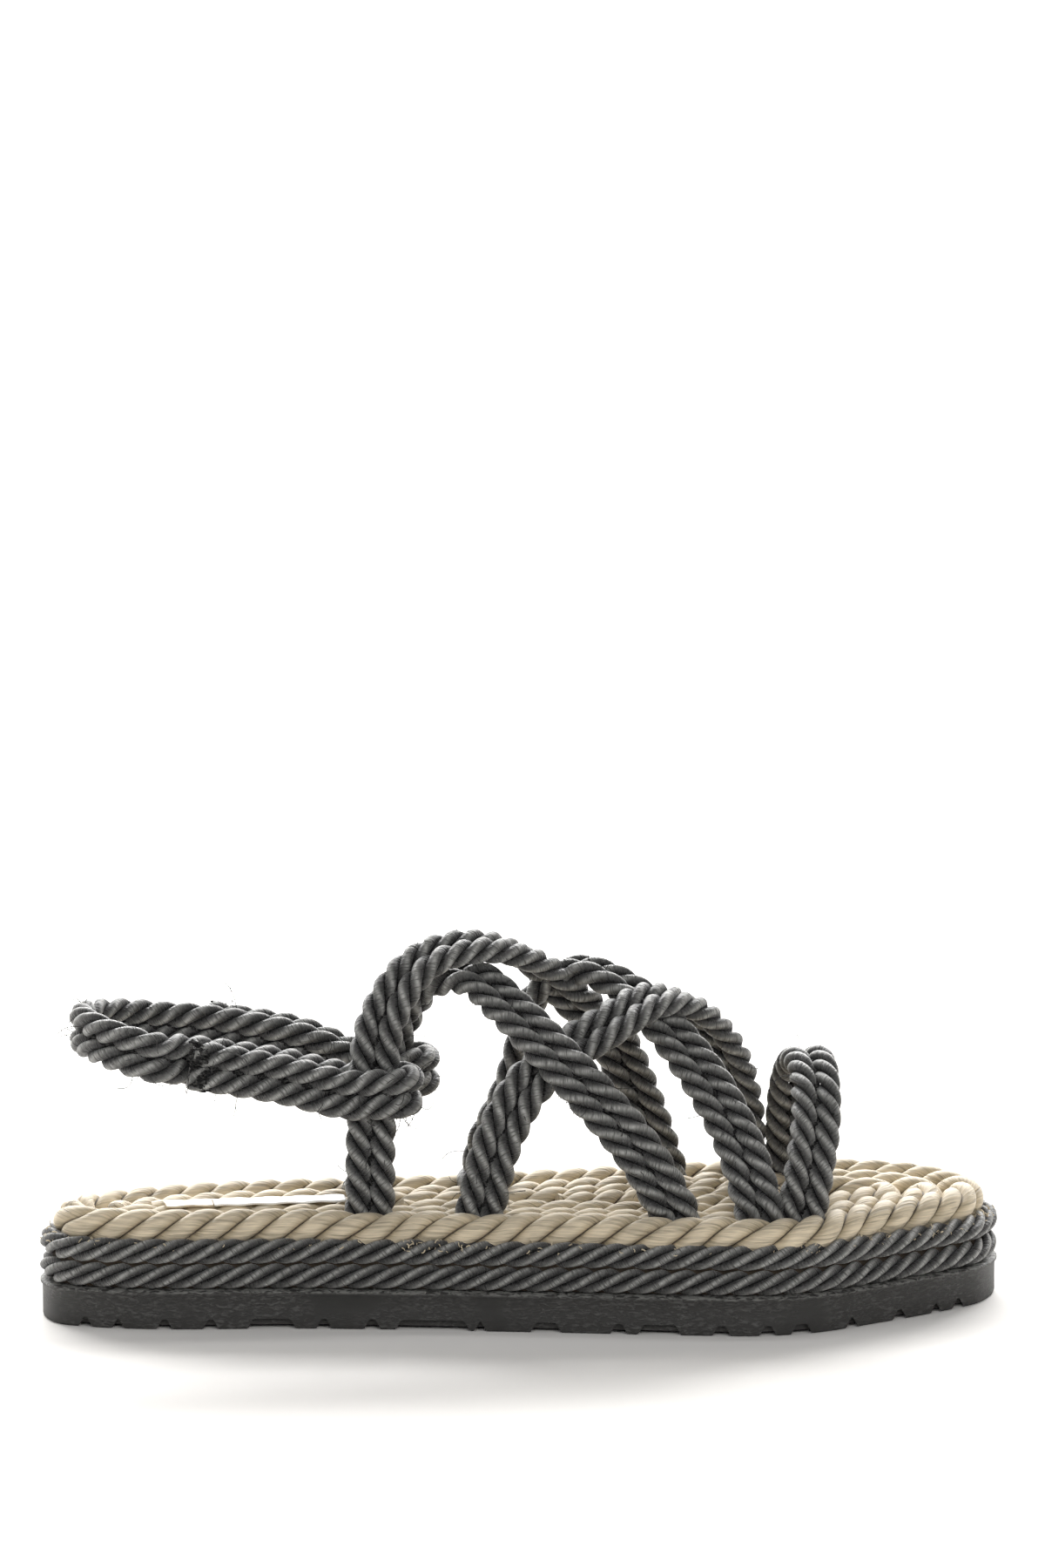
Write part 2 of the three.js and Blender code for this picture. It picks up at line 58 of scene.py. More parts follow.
def linear(hex_colour):
    """An sRGB hex colour as linear red, green, blue and alpha."""
    shares = [int(hex_colour[start : start + 2], 16) / 255 for start in (0, 2, 4)]
    return tuple(
        share / 12.92 if share <= 0.04045 else ((share + 0.055) / 1.055) ** 2.4
        for share in shares
    ) + (1.0,)


# Settings


def length(name, default, description):
    return bpy.props.FloatProperty(
        name=name, description=description, default=default, unit="LENGTH", precision=5
    )


def colour(name, default, description):
    return bpy.props.FloatVectorProperty(
        name=name,
        description=description,
        default=linear(default),
        size=4,
        min=0,
        max=1,
        subtype="COLOR",
    )


class SandalSizes(bpy.types.PropertyGroup):
    """The sandal's sizes, as its solids have them."""

    sole_length: length("Sole length", 256 * MM, "Heel to toe, along the sole")
    ball_width: length("Ball width", 92 * MM, "Sole width at the ball of the foot")
    outsole_thickness: length("Outsole thickness", 10.3 * MM, "Rubber, tread included")
    tread_depth: length("Tread depth", 2.8 * MM, "Depth of the cross grooves")
    lip_height: length("Lip height", 1.4 * MM, "Lip round the outsole's upper edge")
    lip_step: length("Lip step", 0.6 * MM, "How far the lip stands out")
    trim_cord: length("Side cord", 6.3 * MM, "Diameter of the two rows of side cord")
    footbed_rope: length("Footbed rope", 9.4 * MM, "Diameter of the inner footbed rope")
    outer_rope: length("Outer rope", 9.9 * MM, "Diameter of the outermost rope")
    rope_pitch: length("Rope pitch", 9.9 * MM, "Spacing of the footbed's turns")
    rope_edge: length("Rope edge", 3.7 * MM, "From the sole's edge to the outer rope")
    platform: length("Platform", 2.5 * MM, "From the upper cord layer's underside to its top")
    clearance: length("Clearance", 0.3 * MM, "Air between neighbouring solids")
    strap_cord: length("Strap cord", 6.5 * MM, "Diameter of each sewn cord")
    instep_height: length("Instep height", 65.5 * MM, "Crossed straps over the footbed")
    toe_height: length("Toe strap height", 34.8 * MM, "Toe strap over the footbed")
    sling_height: length("Sling height", 45.7 * MM, "Heel sling over the footbed")
    sling_overlap: length("Sling overlap", 48 * MM, "From each fold to its sewn end")
    strap_lay: length("Strap cord lay", 18.5 * MM, "One full twist of the strap cord")
    trim_lay: length("Side cord lay", 26.9 * MM, "One full twist of the side cord")
    rope_lay: length("Rope lay", 25.6 * MM, "One full twist of the tan rope")
    label_length: length("Label length", 35 * MM, "White woven strip")
    label_tab: length("Tab length", 12.5 * MM, "Beige tape end")
    label_width: length("Label width", 8 * MM, "Both label pieces")


class SandalColours(bpy.types.PropertyGroup):
    """The sandal's colours."""

    cord: colour("Cord", "434342", "Dark cord, on the flank of a strand")
    # Painted highlight: the lighter colour on a strand's crest stands in for the light along it.
    cord_highlight: colour("Cord light", "8C8C89", "Dark cord, on the crest of a strand")
    # Painted shade: near black in the creases between strands, where shade falls.
    cord_shade: colour("Cord shade", "070808", "Dark cord, between strands")
    rope: colour("Rope", "D0C2A8", "Tan rope, on the crest of a strand")
    # Painted shade: dark brown in the creases between strands, where shade falls.
    rope_shade: colour("Rope shade", "453A2C", "Tan rope, between strands")
    rubber: colour("Rubber", "2B2B2A", "Outsole")
    label: colour("Label", "F9F8F5", "White strip")
    tab: colour("Tab", "CDBFA6", "Beige tape end")
    floor: colour("Floor", "FCFAF7", "Studio floor")


def sizes():
    return bpy.context.scene.sandal_sizes


def colours():
    return bpy.context.scene.sandal_colours


# Shape tables, as in the part's source: shares of the sole's length, of the
# ball width and of a strap's height over the footbed.

OUTLINE = [
    (0.015, 0.105, 0.162),
    (0.04, 0.17, 0.205),
    (0.08, 0.228, 0.242),
    (0.12, 0.268, 0.264),
    (0.18, 0.306, 0.277),
    (0.25, 0.328, 0.286),
    (0.35, 0.343, 0.322),
    (0.45, 0.364, 0.37),
    (0.55, 0.41, 0.42),
    (0.65, 0.463, 0.471),
    (0.73, 0.495, 0.499),
    (0.79, 0.501, 0.464),
    (0.85, 0.486, 0.37),
    (0.9, 0.447, 0.283),
    (0.945, 0.372, 0.195),
    (0.975, 0.275, 0.12),
]
HEEL_TIP = -0.035
TOE_TIP = 0.065
OUTLINE_SAMPLES = 360

# Place along the sole and width of each tread groove.
GROOVES = [
    (-0.455, 2.5 * MM),
    (-0.422, 2 * MM),
    (-0.375, 3 * MM),
    (-0.328, 3 * MM),
    (-0.266, 11.4 * MM),
    (-0.213, 3 * MM),
    (-0.164, 3.2 * MM),
    (-0.103, 18 * MM),
    (-0.055, 2 * MM),
    (0.011, 6.8 * MM),
    (0.084, 3.4 * MM),
    (0.125, 10 * MM),
    (0.187, 3.6 * MM),
    (0.234, 3.4 * MM),
    (0.269, 4.6 * MM),
    (0.324, 2.4 * MM),
    (0.378, 3 * MM),
    (0.42, 2 * MM),
    (0.446, 2.5 * MM),
]

# Each groove's rounded shoulders: how far they spread on each side, how wide one is,
# and the steps in half a section. The solid that cuts a groove starts below the floor.
GROOVE_SPREAD = 0.9 * MM
GROOVE_SHOULDER = 2.0 * MM
GROOVE_STEPS = 12
GROOVE_CUT_FROM = -2 * MM
# The lowest points of the section lie this far under the floor, so that the cut is clean.
GROOVE_OVERCUT = 0.01 * MM

# Lateral foot, medial foot, and the rows between them.
REAR_STRAP = (
    -0.163,
    0.159,
    [
        (-0.1595, -0.135, 0.4),
        (-0.1485, -0.087, 0.742),
        (-0.107, -0.028, 0.962),
        (-0.045, 0.042, 1.013),
        (0.012, 0.129, 0.93),
        (0.055, 0.216, 0.765),
        (0.101, 0.283, 0.573),
        (0.132, 0.315, 0.302),
    ],
)
SIDE_STRAP = (
    0.1465,
    -0.161,
    [
        (0.109, -0.29, 0.252),
        (0.065, -0.251, 0.458),
        (0.025, -0.186, 0.625),
        (-0.0135, -0.088, 0.772),
        (-0.0525, 0.028, 0.884),
        (-0.096, 0.124, 0.82),
        (-0.124, 0.178, 0.608),
        (-0.144, 0.199, 0.315),
    ],
)
FRONT_STRAP = (
    -0.051,
    0.247,
    [
        (-0.032, -0.191, 0.269),
        (0.0005, -0.154, 0.492),
        (0.045, -0.114, 0.624),
        (0.09, -0.057, 0.713),
        (0.134, 0.028, 0.783),
        (0.178, 0.132, 0.731),
        (0.2155, 0.227, 0.557),
        (0.237, 0.303, 0.307),
    ],
)
CROSS_STRAP = (
    0.232,
    -0.038,
    [
        (0.2165, -0.241, 0.24),
        (0.191, -0.12, 0.45),
        (0.1575, 0.004, 0.632),
        (0.114, 0.111, 0.803),
        (0.06, 0.189, 0.876),
        (0.02, 0.229, 0.76),
        (0.002, 0.234, 0.499),
        (-0.02, 0.23, 0.232),
    ],
)
TOE_STRAP = (
    0.276,
    0.2955,
    [
        (0.285, -0.292, 0.31),
        (0.294, -0.23, 0.632),
        (0.298, -0.143, 0.862),
        (0.299, -0.036, 0.986),
        (0.2965, 0.078, 0.983),
        (0.294, 0.182, 0.845),
        (0.292, 0.261, 0.598),
        (0.2925, 0.315, 0.285),
    ],
)
INSTEP_STRAPS = [REAR_STRAP, SIDE_STRAP, FRONT_STRAP, CROSS_STRAP]

SLING_HEEL = [
    (-0.385, -0.22, 0.925),
    (-0.422, -0.175, 0.975),
    (-0.446, -0.095, 1.01),
    (-0.454, 0.01, 1.015),
    (-0.443, 0.11, 1.005),
    (-0.413, 0.18, 0.985),
    (-0.37, 0.215, 0.95),
]
SLING_FOLD = 0.68
# Each sewn end: its place across, its height, and the sling's height halfway to the fold.
SLING_LATERAL_END = (-0.2, 0.885, 0.782)
SLING_MEDIAL_END = (0.235, 0.93, 0.83)

THIRD_TURN_START = -0.02
THIRD_TURN_LATERAL_END = [(-0.125, -1), (-0.06, -1)]
THIRD_TURN_MEDIAL_TAIL = [
    (-0.06, 1),
    (-0.125, 1),
    (-0.17, 0.4),
    (-0.21, 0),
    (-0.3, 0),
    (-0.385, 0),
]
CORE_START = 0.037
CORE_FORK = 0.12
CORE_TURN = 0.285

CORD_STRANDS = 3
SIDE_CORD_STRANDS = 4
ROPE_STRANDS = 3

# Where along it the rear strap leans over, how far, and by what angle.
REAR_LEAN = (0.74, 0.12, math.radians(-35))

# Sewn cords are pressed together, so their middles are closer than one diameter.
PAIR_SPACING = 0.98
# How much a strand's crest stands proud of the plain cord.
SOFT_SWELL = 0.55 * MM

# The foot's long axis, across the sole, and how low its straps curve round it.
FOOT_AXIS_ACROSS = 0.2
FOOT_AXIS_RISE = 0.15

# How far the end stitches climb for each millimetre along the sling.
STITCH_SLOPE = 0.23

# Place, target, size and watts of each soft light.
LIGHTS = {
    "key_softbox": ((0, 1.2, 0.88), (0, 0, 0), (2.2, 0.4), 54),
    "backdrop_light": ((0, 0.3, 1.6), (0, 1.6, 1.25), (2.4, 0.5), 60),
    "front_softbox": ((0.2, -1.5, 0.8), (0, 0, 0.04), (1.6, 0.7), 12.5),
    "left_softbox": ((-1.5, -0.4, 0.8), (0, 0, 0.04), (0.9, 0.9), 3),
}
WORLD_STRENGTH = 0.12
CAMERA_PLACE = (-0.14392, -1.64313, 0.37084)
CAMERA_TURN = (math.radians(82.01), 0, math.radians(-5))
CAMERA_LENS = 145.5

LABEL_ALONG = -0.254
LABEL_ACROSS = -0.04
LABEL_TURN = math.radians(5)
# Spacing of the ribs across the woven tape.
TAPE_RIB = 0.5 * MM


# Heights worked out from the sizes


def lower_layer_bottom():
    return sizes().outsole_thickness + sizes().clearance


def upper_layer_bottom():
    return lower_layer_bottom() + sizes().trim_cord + sizes().clearance


def platform_top():
    return upper_layer_bottom() + sizes().platform


def inner_rope_height():
    return platform_top() + sizes().clearance + sizes().footbed_rope / 2


def outer_rope_height():
    return inner_rope_height() + 0.6 * MM


def footbed_top():
    return inner_rope_height() + sizes().footbed_rope / 2


def outer_rope_inset():
    return sizes().rope_edge + sizes().outer_rope / 2


# Lines


def smooth_line(points, closed=False, substeps=16):
    """A centripetal Catmull-Rom curve through the points, in many short steps."""
    rows = np.array([tuple(point) for point in points], float)
    if closed:
        rows = np.vstack([rows[-1:], rows, rows[:2]])
    else:
        rows = np.vstack([2 * rows[0] - rows[1], rows, 2 * rows[-1] - rows[-2]])
    before, first, second, after = rows[:-3], rows[1:-2], rows[2:-1], rows[3:]

    def gap(start, end):
        return np.sqrt(np.linalg.norm(end - start, axis=1))[:, None]

    g0, g1, g2 = gap(before, first), gap(first, second), gap(second, after)
    middle = (second - first) / g1
    leave = ((first - before) / g0 - (second - before) / (g0 + g1) + middle) * g1
    arrive = (middle - (after - first) / (g1 + g2) + (after - second) / g2) * g1
    t = (np.arange(substeps) / substeps)[None, :, None]
    first, second, leave, arrive = (part[:, None, :] for part in (first, second, leave, arrive))
    line = (
        (2 * t**3 - 3 * t**2 + 1) * first
        + (t**3 - 2 * t**2 + t) * leave
        + (3 * t**2 - 2 * t**3) * second
        + (t**3 - t**2) * arrive
    ).reshape(-1, 3)
    return line if closed else np.vstack([line, rows[-2]])


def line_length(line, closed=False):
    whole = np.vstack([line, line[:1]]) if closed else line
    return np.linalg.norm(np.diff(whole, axis=0), axis=1).sum()


def evenly(line, count, closed=False):
    """The same line with count evenly spaced points."""
    whole = np.vstack([line, line[:1]]) if closed else line
    steps = np.linalg.norm(np.diff(whole, axis=0), axis=1)
    reach = np.concatenate([[0], np.cumsum(steps)])
    places = np.linspace(0, reach[-1], count + 1 if closed else count)[:count]
    return np.column_stack([np.interp(places, reach, whole[:, axis]) for axis in range(3)])


def directions(line, closed=False):
    """The unit direction of travel at each point."""
    if closed:
        along = np.roll(line, -1, axis=0) - np.roll(line, 1, axis=0)
    else:
        along = np.gradient(line, axis=0)
    return along / np.linalg.norm(along, axis=1)[:, None]


def inward(line):
    along = directions(line, closed=True)
    return np.column_stack([-along[:, 1], along[:, 0], np.zeros(len(line))])


def outline():
    """The sole's outline, counter-clockwise from the heel, evenly spaced."""
    long, wide = sizes().sole_length, sizes().ball_width
    lateral = [((along - 0.5) * long, -reach * wide, 0) for along, _, reach in OUTLINE]
    medial = [((along - 0.5) * long, reach * wide, 0) for along, reach, _ in OUTLINE]
    heel = (-long / 2, HEEL_TIP * wide, 0)
    toe = (long / 2, TOE_TIP * wide, 0)
    points = [heel] + lateral + [toe] + medial[::-1]
    return evenly(smooth_line(points, closed=True), OUTLINE_SAMPLES, closed=True)


def distance_to(points, line):
    """How far each point is from a closed line."""
    start, end = line[None, :, :], np.roll(line, -1, axis=0)[None, :, :]
    edge = end - start
    share = ((points[:, None, :] - start) * edge).sum(2) / (edge**2).sum(2)
    foot = start + np.clip(share, 0, 1)[:, :, None] * edge
    return np.linalg.norm(points[:, None, :] - foot, axis=2).min(1)


def inset_line(inset, count=OUTLINE_SAMPLES, rounding=0):
    """The closed line inside the outline at one distance, its tight ends rounded."""
    edge = outline()
    moved = edge + inward(edge) * inset
    kept = moved[distance_to(moved, edge) > inset - 0.02 * MM]
    kept = evenly(smooth_line(kept, closed=True), OUTLINE_SAMPLES, closed=True)
    for _ in range(rounding):
        kept = (2 * kept + np.roll(kept, 1, axis=0) + np.roll(kept, -1, axis=0)) / 4
    return evenly(kept, count, closed=True)


def strap_foot(along, side):
    """Where a strap enters the footbed, between the outer two ropes."""
    x = along * sizes().sole_length
    line = inset_line(outer_rope_inset() + sizes().rope_pitch / 2)
    on_side = line[side * line[:, 1] > 0]
    y = on_side[np.abs(on_side[:, 0] - x).argmin()][1]
    return np.array([x, y, platform_top() + sizes().clearance])


def strap_line(route, height, step=1 * MM):
    """A strap's middle line, straight up through the footbed at both ends."""
    lateral_along, medial_along, rows = route
    lateral, medial = strap_foot(lateral_along, -1), strap_foot(medial_along, 1)
    rise = np.array([0, 0, footbed_top() - lateral[2]])
    over = [
        (along * sizes().sole_length, across * sizes().ball_width, footbed_top() + up * height)
        for along, across, up in rows
    ]
    line = smooth_line([lateral + rise, *over, medial + rise])
    line = np.vstack([lateral, line, medial])
    return evenly(line, round(line_length(line) / step))


def flat_on_foot(line):
    """The across direction of a strap that lies flat on the foot."""
    along = directions(line)
    out = line * (0, 1, 1)
    rise = FOOT_AXIS_RISE * sizes().instep_height
    out -= (0, FOOT_AXIS_ACROSS * sizes().ball_width, footbed_top() + rise)
    across = -np.cross(out, along)
    return across / np.linalg.norm(across, axis=1)[:, None]


def leaning(line, across, middle, width, angle):
    """Turns a strap's across direction about the strap, most at one share of its length."""
    along = directions(line)
    place = np.linspace(0, 1, len(line))
    turn = (angle * np.exp(-(((place - middle) / width) ** 2)))[:, None]
    return across * np.cos(turn) + np.cross(along, across) * np.sin(turn)


def standing_up(line):
    """The across direction of a band that stands on its edge."""
    along = directions(line)
    across = np.array([0, 0, 1.0]) - along * along[:, 2:]
    return across / np.linalg.norm(across, axis=1)[:, None]


def cord_pair(line, across):
    """The middle lines of two cords sewn side by side."""
    half = PAIR_SPACING * sizes().strap_cord / 2
    return [line + across * half, line - across * half]


def fold_around(upright, side):
    """The sling's turn round a strap's upright."""
    reach = sizes().strap_cord / 2
    radius = sizes().strap_cord + sizes().clearance
    rows = [(-2.2 * reach, 1), (0, 1), (reach, 1), (reach + 0.707 * radius, 0.707)]
    rows += [(reach + radius, 0), (reach + 0.707 * radius, -0.707)]
    rows += [(reach, -1), (0, -1), (-2.2 * reach, -1)]
    return [upright + (along, side * across * radius, 0) for along, across in rows]


def sling_line(step=1 * MM):
    """From one sewn end, round both uprights and the heel, to the other."""
    fold = footbed_top() + SLING_FOLD * sizes().sling_height
    radius = sizes().strap_cord + sizes().clearance

    def upright(route, from_medial):
        line = strap_line(route, sizes().instep_height)
        line = line[::-1] if from_medial else line
        x, y, _ = line[np.argmax(line[:, 2] >= fold)]
        return np.array([x, y, fold])

    lateral, medial = upright(REAR_STRAP, False), upright(SIDE_STRAP, True)

    def sewn(place, end, layer):
        across, up, _ = end
        x = place[0] - sizes().sling_overlap
        y = across * sizes().ball_width + layer * radius
        return (x, y, footbed_top() + up * sizes().sling_height)

    def middle(place, end, layer):
        x = place[0] - sizes().sling_overlap / 2
        y = (place[1] + 2 * layer * radius + sewn(place, end, layer)[1]) / 2
        return (x, y, footbed_top() + end[2] * sizes().sling_height)

    heel = [
        (
            along * sizes().sole_length,
            across * sizes().ball_width,
            footbed_top() + up * sizes().sling_height,
        )
        for along, across, up in SLING_HEEL
    ]
    points = [place(lateral, SLING_LATERAL_END, -0.5) for place in (sewn, middle)]
    points += fold_around(lateral, -1)
    points += [place(lateral, SLING_LATERAL_END, 0.5) for place in (middle, sewn)]
    points += heel
    points += [place(medial, SLING_MEDIAL_END, -0.5) for place in (sewn, middle)]
    points += fold_around(medial, 1)[::-1]
    points += [place(medial, SLING_MEDIAL_END, 0.5) for place in (middle, sewn)]
    line = smooth_line(points)
    return evenly(line, round(line_length(line) / step))


def centre_across(x):
    """The footbed's middle, across the sole."""
    line = inset_line(outer_rope_inset() + sizes().rope_pitch / 2)
    reach = []
    for side in (-1, 1):
        on_side = line[side * line[:, 1] > 0]
        reach.append(on_side[np.abs(on_side[:, 0] - x).argmin()][1])
    return sum(reach) / 2


def centre_point(along, beside):
    x = along * sizes().sole_length
    return (x, centre_across(x) + beside * sizes().rope_pitch / 2, inner_rope_height())


def third_turn_line():
    line = inset_line(outer_rope_inset() + 2 * sizes().rope_pitch, 60, 6)
    line[:, 2] = inner_rope_height()
    start = THIRD_TURN_START * sizes().sole_length
    forefoot = [point for point in line if point[0] > start]
    points = [centre_point(*row) for row in THIRD_TURN_LATERAL_END]
    points += forefoot
    points += [centre_point(*row) for row in THIRD_TURN_MEDIAL_TAIL]
    return smooth_line(points)


def core_line():
    half = sizes().rope_pitch / 2
    x = CORE_TURN * sizes().sole_length
    y = centre_across(x)
    points = [centre_point(CORE_START, 0)]
    points += [centre_point((CORE_START + CORE_FORK) / 2, 0.4)]
    points += [centre_point(CORE_FORK, 1), centre_point(CORE_TURN - 0.02, 1)]
    for degrees in (-60, -30, 0, 30, 60):
        angle = math.radians(degrees)
        points.append((x + half * math.cos(angle), y - half * math.sin(angle), inner_rope_height()))
    points += [centre_point(CORE_TURN - 0.02, -1), centre_point(CORE_FORK, -1)]
    return smooth_line(points)


# Node trees


def add_node(tree, kind, inputs=None, links=None, **settings):
    """Adds a node, sets its properties and input values, and links its inputs."""
    node = tree.nodes.new(kind)
    for key, value in settings.items():
        setattr(node, key, value)
    for key, value in (inputs or {}).items():
        node.inputs[key].default_value = value
    for key, source in (links or {}).items():
        tree.links.new(source, node.inputs[key])
    return node


def maths(tree, operation, *values):
    """One Math node, whose values are numbers to set or sockets to link."""
    inputs = {i: v for i, v in enumerate(values) if isinstance(v, (int, float))}
    links = {i: v for i, v in enumerate(values) if not isinstance(v, (int, float))}
    return add_node(tree, "ShaderNodeMath", inputs, links, operation=operation).outputs[0]


def noise(tree, place, scale, detail=2.0, roughness=0.5, distortion=0.0):
    values = {"Scale": scale, "Detail": detail, "Roughness": roughness, "Distortion": distortion}
    return add_node(tree, "ShaderNodeTexNoise", values, {"Vector": place}).outputs[0]


def stored(tree, geometry, name, value, kind="FLOAT"):
    """Keeps a value on each point under a name that materials read."""
    return add_node(
        tree,
        "GeometryNodeStoreNamedAttribute",
        {"Name": name},
        {"Geometry": geometry, "Value": value},
        data_type=kind,
        domain="POINT",
    ).outputs[0]


def finish_tree(tree, mesh, material, result):
    mesh = add_node(tree, "GeometryNodeRealizeInstances", links={"Geometry": mesh}).outputs[0]
    links = {"Geometry": mesh, "Material": material}
    mesh = add_node(tree, "GeometryNodeSetMaterial", links=links).outputs[0]
    tree.links.new(mesh, result.inputs[0])
    return tree


def new_group(name, sockets):
    """A geometry node tree with the named inputs and its group nodes."""
    tree = bpy.data.node_groups.new(name, "GeometryNodeTree")
    for label, kind, default in sockets:
        socket = tree.interface.new_socket(label, in_out="INPUT", socket_type=kind)
        if default is not None:
            socket.default_value = default
    tree.interface.new_socket("Geometry", in_out="OUTPUT", socket_type="NodeSocketGeometry")
    return tree, tree.nodes.new("NodeGroupInput").outputs, tree.nodes.new("NodeGroupOutput")


def laid_rope_tree():
    """Strands twisted round a line, with their places kept as attributes."""
    tree, given, result = new_group(
        "laid_rope",
        [
            ("Geometry", "NodeSocketGeometry", None),
            ("Diameter", "NodeSocketFloat", 6.5 * MM),
            ("Lay", "NodeSocketFloat", 20 * MM),
            ("Strands", "NodeSocketFloat", float(CORD_STRANDS)),
            ("Groove depth", "NodeSocketFloat", 0.52),
            ("Groove sharpness", "NodeSocketFloat", 2.2),
            ("Crease", "NodeSocketFloat", 0.12),
            ("Facets", "NodeSocketInt", 32),
            ("Step", "NodeSocketFloat", 0.9 * MM),
            ("Unevenness", "NodeSocketFloat", 0.45 * MM),
            ("Seed", "NodeSocketFloat", 1.0),
            ("Material", "NodeSocketMaterial", None),
        ],
    )
    resampled = add_node(
        tree,
        "GeometryNodeResampleCurve",
        links={"Curve": given["Geometry"], "Length": given["Step"]},
        mode="LENGTH",
    ).outputs[0]
    run = add_node(tree, "GeometryNodeSplineParameter").outputs["Length"]
    whole = add_node(tree, "GeometryNodeSplineLength").outputs["Length"]
    turns = maths(tree, "ROUND", maths(tree, "DIVIDE", whole, given["Lay"]))
    turn = maths(tree, "MULTIPLY", maths(tree, "DIVIDE", run, whole), turns)
    turn = maths(tree, "MULTIPLY", turn, -2 * math.pi)
    tilted = add_node(
        tree, "GeometryNodeSetCurveTilt", links={"Curve": resampled, "Tilt": turn}
    ).outputs[0]
    tilted = stored(tree, tilted, "rope_turn", turn)
    tilted = stored(tree, tilted, "rope_run", run)

    radius = maths(tree, "MULTIPLY", given["Diameter"], 0.5)
    circle = add_node(
        tree,
        "GeometryNodeCurvePrimitiveCircle",
        links={"Resolution": given["Facets"], "Radius": radius},
    ).outputs[0]
    place = add_node(tree, "GeometryNodeInputPosition").outputs[0]
    parts = add_node(tree, "ShaderNodeSeparateXYZ", links={0: place}).outputs
    angle = maths(tree, "ARCTAN2", parts["Y"], parts["X"])
    crowded = maths(tree, "SINE", maths(tree, "MULTIPLY", angle, given["Strands"]))
    crowded = maths(tree, "DIVIDE", maths(tree, "MULTIPLY", crowded, 0.45), given["Strands"])
    angle = maths(tree, "ADD", angle, crowded)
    unit = add_node(
        tree,
        "ShaderNodeCombineXYZ",
        links={0: maths(tree, "COSINE", angle), 1: maths(tree, "SINE", angle)},
    ).outputs[0]
    circle = stored(tree, circle, "rope_side", unit, "FLOAT_VECTOR")
    share = maths(tree, "DIVIDE", maths(tree, "MULTIPLY", angle, given["Strands"]), 2 * math.pi)
    share = maths(tree, "ADD", share, 0.5)
    from_crest = maths(tree, "ABSOLUTE", maths(tree, "SUBTRACT", maths(tree, "FRACT", share), 0.5))
    from_crest = maths(tree, "MULTIPLY", from_crest, 2)
    dip = maths(tree, "POWER", from_crest, given["Groove sharpness"])
    dip = maths(tree, "MULTIPLY", dip, given["Groove depth"])
    narrow = maths(tree, "MULTIPLY", maths(tree, "POWER", from_crest, 12), given["Crease"])
    reach = maths(tree, "SUBTRACT", 1, maths(tree, "ADD", dip, narrow))
    reach = maths(tree, "MULTIPLY", reach, radius)
    shrunk = add_node(
        tree, "ShaderNodeVectorMath", links={0: unit, "Scale": reach}, operation="SCALE"
    ).outputs[0]
    circle = add_node(
        tree, "GeometryNodeSetPosition", links={"Geometry": circle, "Position": shrunk}
    ).outputs[0]

    mesh = add_node(
        tree,
        "GeometryNodeCurveToMesh",
        {"Fill Caps": True},
        {"Curve": tilted, "Profile Curve": circle},
    ).outputs[0]
    wobble = add_node(
        tree,
        "ShaderNodeTexNoise",
        {"Scale": 190.0, "Detail": 3.0, "Roughness": 0.62},
        {"W": given["Seed"]},
        noise_dimensions="4D",
    ).outputs[0]
    wobble = maths(tree, "MULTIPLY", maths(tree, "SUBTRACT", wobble, 0.5), given["Unevenness"])
    normal = add_node(tree, "GeometryNodeInputNormal").outputs[0]
    offset = add_node(
        tree, "ShaderNodeVectorMath", links={0: normal, "Scale": wobble}, operation="SCALE"
    ).outputs[0]
    mesh = add_node(
        tree, "GeometryNodeSetPosition", links={"Geometry": mesh, "Offset": offset}
    ).outputs[0]
    mesh = add_node(tree, "GeometryNodeSetShadeSmooth", links={"Geometry": mesh}).outputs[0]
    return finish_tree(tree, mesh, given["Material"], result)


def node_group(name, make):
    return bpy.data.node_groups.get(name) or make()


def grown(source, name, tree, values):
    """Runs a geometry tree on an object and keeps the result as a plain mesh object."""
    modifier = source.modifiers.new("grow", "NODES")
    modifier.node_group = tree
    keys = {
        item.name: item.identifier
        for item in tree.interface.items_tree
        if item.item_type == "SOCKET" and item.in_out == "INPUT"
    }
    for label, value in values.items():
        modifier[keys[label]] = value
    graph = bpy.context.evaluated_depsgraph_get()
    mesh = bpy.data.meshes.new_from_object(source.evaluated_get(graph), depsgraph=graph)
    source.modifiers.remove(modifier)
    data = source.data
    bpy.data.objects.remove(source)
    if isinstance(data, bpy.types.Curve):
        bpy.data.curves.remove(data)
    if not mesh.polygons:
        raise RuntimeError(f"{name} came out empty")
    mesh.name = name
    piece = bpy.data.objects.new(name, mesh)
    bpy.context.collection.objects.link(piece)
    return piece


def curve_object(name, lines, closed=False, end_share=1.0, end_reach=6 * MM):
    """Poly splines, whose radius shrinks to end_share towards both ends."""
    data = bpy.data.curves.new(name, "CURVE")
    data.dimensions = "3D"
    for line in lines:
        spline = data.splines.new("POLY")
        spline.points.add(len(line) - 1)
        flat = np.column_stack([line, np.ones(len(line))]).astype(np.float32).ravel()
        spline.points.foreach_set("co", flat)
        spline.use_cyclic_u = closed
        steps = np.linalg.norm(np.diff(line, axis=0), axis=1)
        run = np.concatenate([[0], np.cumsum(steps)])
        near_end = np.clip(np.minimum(run, run[-1] - run) / end_reach, 0, 1)
        radii = end_share + (1 - end_share) * np.sqrt(near_end * (2 - near_end))
        spline.points.foreach_set("radius", radii.astype(np.float32))
    curve = bpy.data.objects.new(name, data)
    bpy.context.collection.objects.link(curve)
    return curve


def laid_rope(name, lines, material, closed=False, end_share=1.0, **values):
    """One rope piece, of one or more lines."""
    source = curve_object(name + "_line", lines, closed, end_share)
    tree = node_group("laid_rope", laid_rope_tree)
    given = {label.replace("_", " ").capitalize(): value for label, value in values.items()}
    given["Material"] = material
    return grown(source, name, tree, given)


